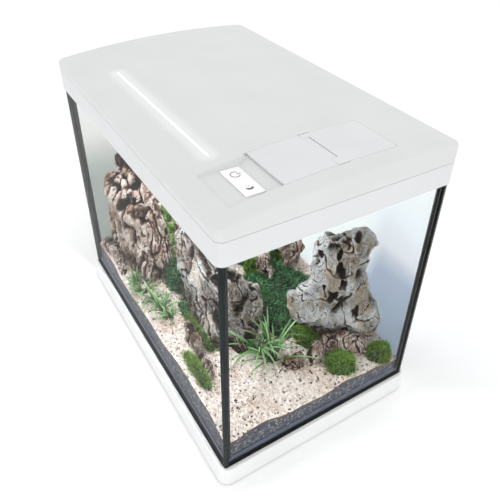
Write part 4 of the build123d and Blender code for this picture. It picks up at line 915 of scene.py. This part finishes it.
def makeGrass():
    dice = random.Random(grassSettings["seed"])
    verts, faces, along, tones = [], [], [], []
    steps = grassSettings["steps"]
    for x, y, height in grassSettings["tufts"]:
        level = rakedHeight(x, y) - 1
        for blade in range(grassSettings["blades"]):
            heading = dice.uniform(0, 2 * math.pi)
            length = height * dice.uniform(0.7, 1.25)
            droop = dice.uniform(0.6, 2.2)
            tone = dice.uniform(0.2, 1.0)
            start = len(verts)
            spot = Vector((x + dice.uniform(-3, 3), y + dice.uniform(-3, 3), level))
            tilt = dice.uniform(0.15, 0.8)
            for step in range(steps + 1):
                part = step / steps
                width = grassSettings["width"] / mm * (1 - part ** 2.5) + 0.05
                side = Vector((-math.sin(heading), math.cos(heading), 0)) * width
                thick = Vector((0, 0, 0.18))
                for offset in (side, thick, -side, -thick):
                    verts.append(tuple(c * mm for c in spot + offset))
                    along.append(part)
                    tones.append(tone)
                lean = tilt + droop * part
                forward = Vector((math.cos(heading) * math.sin(lean), math.sin(heading) * math.sin(lean), math.cos(lean)))
                spot = spot + forward * length / steps
                spot.y = max(spot.y, -119.0)
            for step in range(steps):
                for corner in range(4):
                    a = start + 4 * step + corner
                    b = start + 4 * step + (corner + 1) % 4
                    faces.append((a, b, b + 4, a + 4))
            faces.append((start + 3, start + 2, start + 1, start))
            end = start + 4 * steps
            faces.append((end, end + 1, end + 2, end + 3))
    grass = meshPiece("grass_blades", verts, faces, [grassLeaf])
    grass.data.attributes.new("along", "FLOAT", "POINT").data.foreach_set("value", along)
    grass.data.attributes.new("grain", "FLOAT", "POINT").data.foreach_set("value", tones)
    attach(grass, "tank")
    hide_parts("grass_tufts")


makeGrass()
print("plants done")


# generic signs on the key: a power ring and a moon

signSettings = {"thickness": 0.12 * mm, "lift": 0.02 * mm, "ring": 4.2, "line": 0.7, "fromEnd": 11.0}


def flatBand(points, halfWidth, z, verts, faces):
    start = len(verts)
    for index, point in enumerate(points):
        before, after = points[max(index - 1, 0)], points[min(index + 1, len(points) - 1)]
        run = (after - before).normalized()
        side = Vector((-run.y, run.x)) * halfWidth
        for offset, level in ((side, z), (-side, z), (-side, z + 0.12), (side, z + 0.12)):
            verts.append(((point.x + offset.x) * mm, (point.y + offset.y) * mm, level * mm))
    for index in range(len(points) - 1):
        for corner in range(4):
            a = start + 4 * index + corner
            b = start + 4 * index + (corner + 1) % 4
            faces.append((a, a + 4, b + 4, b))
    end = start + 4 * (len(points) - 1)
    faces.append((start, start + 1, start + 2, start + 3))
    faces.append((end + 3, end + 2, end + 1, end))


def makeKeySigns():
    low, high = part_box("control_key")
    left, right = low.x / mm + signSettings["fromEnd"], high.x / mm - signSettings["fromEnd"]
    middle = (low.y + high.y) / 2 / mm
    z = high.z / mm + signSettings["lift"] / mm
    verts, faces = [], []
    ring = signSettings["ring"]
    turns = [math.radians(90 + 38 + (360 - 76) * i / 30) for i in range(31)]
    flatBand([Vector((left + ring * math.cos(t), middle + ring * math.sin(t))) for t in turns],
             signSettings["line"] / 2, z, verts, faces)
    flatBand([Vector((left, middle + 0.3 * ring)), Vector((left, middle + 1.25 * ring))],
             signSettings["line"] / 2, z, verts, faces)
    crescent = [math.radians(-75 + 150 * i / 20) for i in range(21)]
    for shift in range(3):
        flatBand([Vector((right - 0.5 * shift + (3.4 - 0.4 * shift) * math.cos(t), middle + 3.4 * math.sin(t)))
                  for t in crescent[shift:21 - shift]], 0.3, z, verts, faces)
    for dx, dy in ((-2.5, 1.5), (-3.2, -1.2), (-1.2, -0.2)):
        flatBand([Vector((right + dx - 0.3, middle + dy)), Vector((right + dx + 0.3, middle + dy))],
                 0.3, z, verts, faces)
    signs = meshPiece("key_signs", verts, faces, [signInk], smooth=False)
    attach(signs, "key")


makeKeySigns()
print("signs done")


# floor, light and camera

stageSettings = {"size": 6.0, "world": 1.03, "floor": "#FFFFFF"}


def makeStage():
    half = stageSettings["size"] / 2
    material, tree, output = newMaterial("paleStudioFloor")
    place = addNode(tree, "ShaderNodeTexCoord").outputs["Object"]
    colour = colourRamp(tree, noiseAt(tree, place, 400), [(0.3, "#FCFCFC"), (0.7, stageSettings["floor"])])
    finishWith(tree, output, addNode(tree, "ShaderNodeBsdfDiffuse", inputs={"Color": colour}))
    floor = meshPiece("studio_floor", [(-half, -half, 0), (half, -half, 0), (half, half, 0), (-half, half, 0)],
                      [(0, 1, 2, 3)], [material])
    world = bpy.data.worlds.new("paleStudio")
    world.use_nodes = True
    world.node_tree.nodes["Background"].inputs["Color"].default_value = (1, 1, 1, 1)
    world.node_tree.nodes["Background"].inputs["Strength"].default_value = stageSettings["world"]
    bpy.context.scene.world = world
    bpy.context.scene.view_settings.view_transform = "Standard"


def makeLamp(name, where, towards, size, power):
    lamp = bpy.data.lights.new(name, "AREA")
    lamp.size = size
    lamp.energy = power
    holder = bpy.data.objects.new(name, lamp)
    holder.location = where
    holder.rotation_euler = (Vector(towards) - Vector(where)).to_track_quat("-Z", "Y").to_euler()
    bpy.context.scene.collection.objects.link(holder)


def makeCamera():
    lens = bpy.data.cameras.new("studioCamera")
    lens.lens = 40.402
    lens.sensor_width = 36
    lens.shift_x = -0.03989
    lens.shift_y = -0.04469
    lens.clip_start = 0.01
    camera = bpy.data.objects.new("studioCamera", lens)
    axisX = Vector((0.53744503, 0.84272185, 0.03118840))
    axisY = Vector((-0.51149033, 0.29635205, 0.80656873))
    axisZ = Vector((0.67047034, -0.44943892, 0.59031701))
    turned = Matrix((axisX, axisY, axisZ)).transposed().to_4x4()
    camera.matrix_world = Matrix.Translation((0.49032, -0.27439, 0.58027)) @ turned
    bpy.context.scene.collection.objects.link(camera)
    bpy.context.scene.camera = camera


makeStage()
makeLamp("frontSoftbox", (1.3, -0.7, 0.7), (0, 0, 0.2), 1.0, 1.8)
makeLamp("topSoftbox", (0.2, 0.1, 1.8), (0, 0, 0.2), 1.2, 0.5)
makeCamera()
print("stage done")
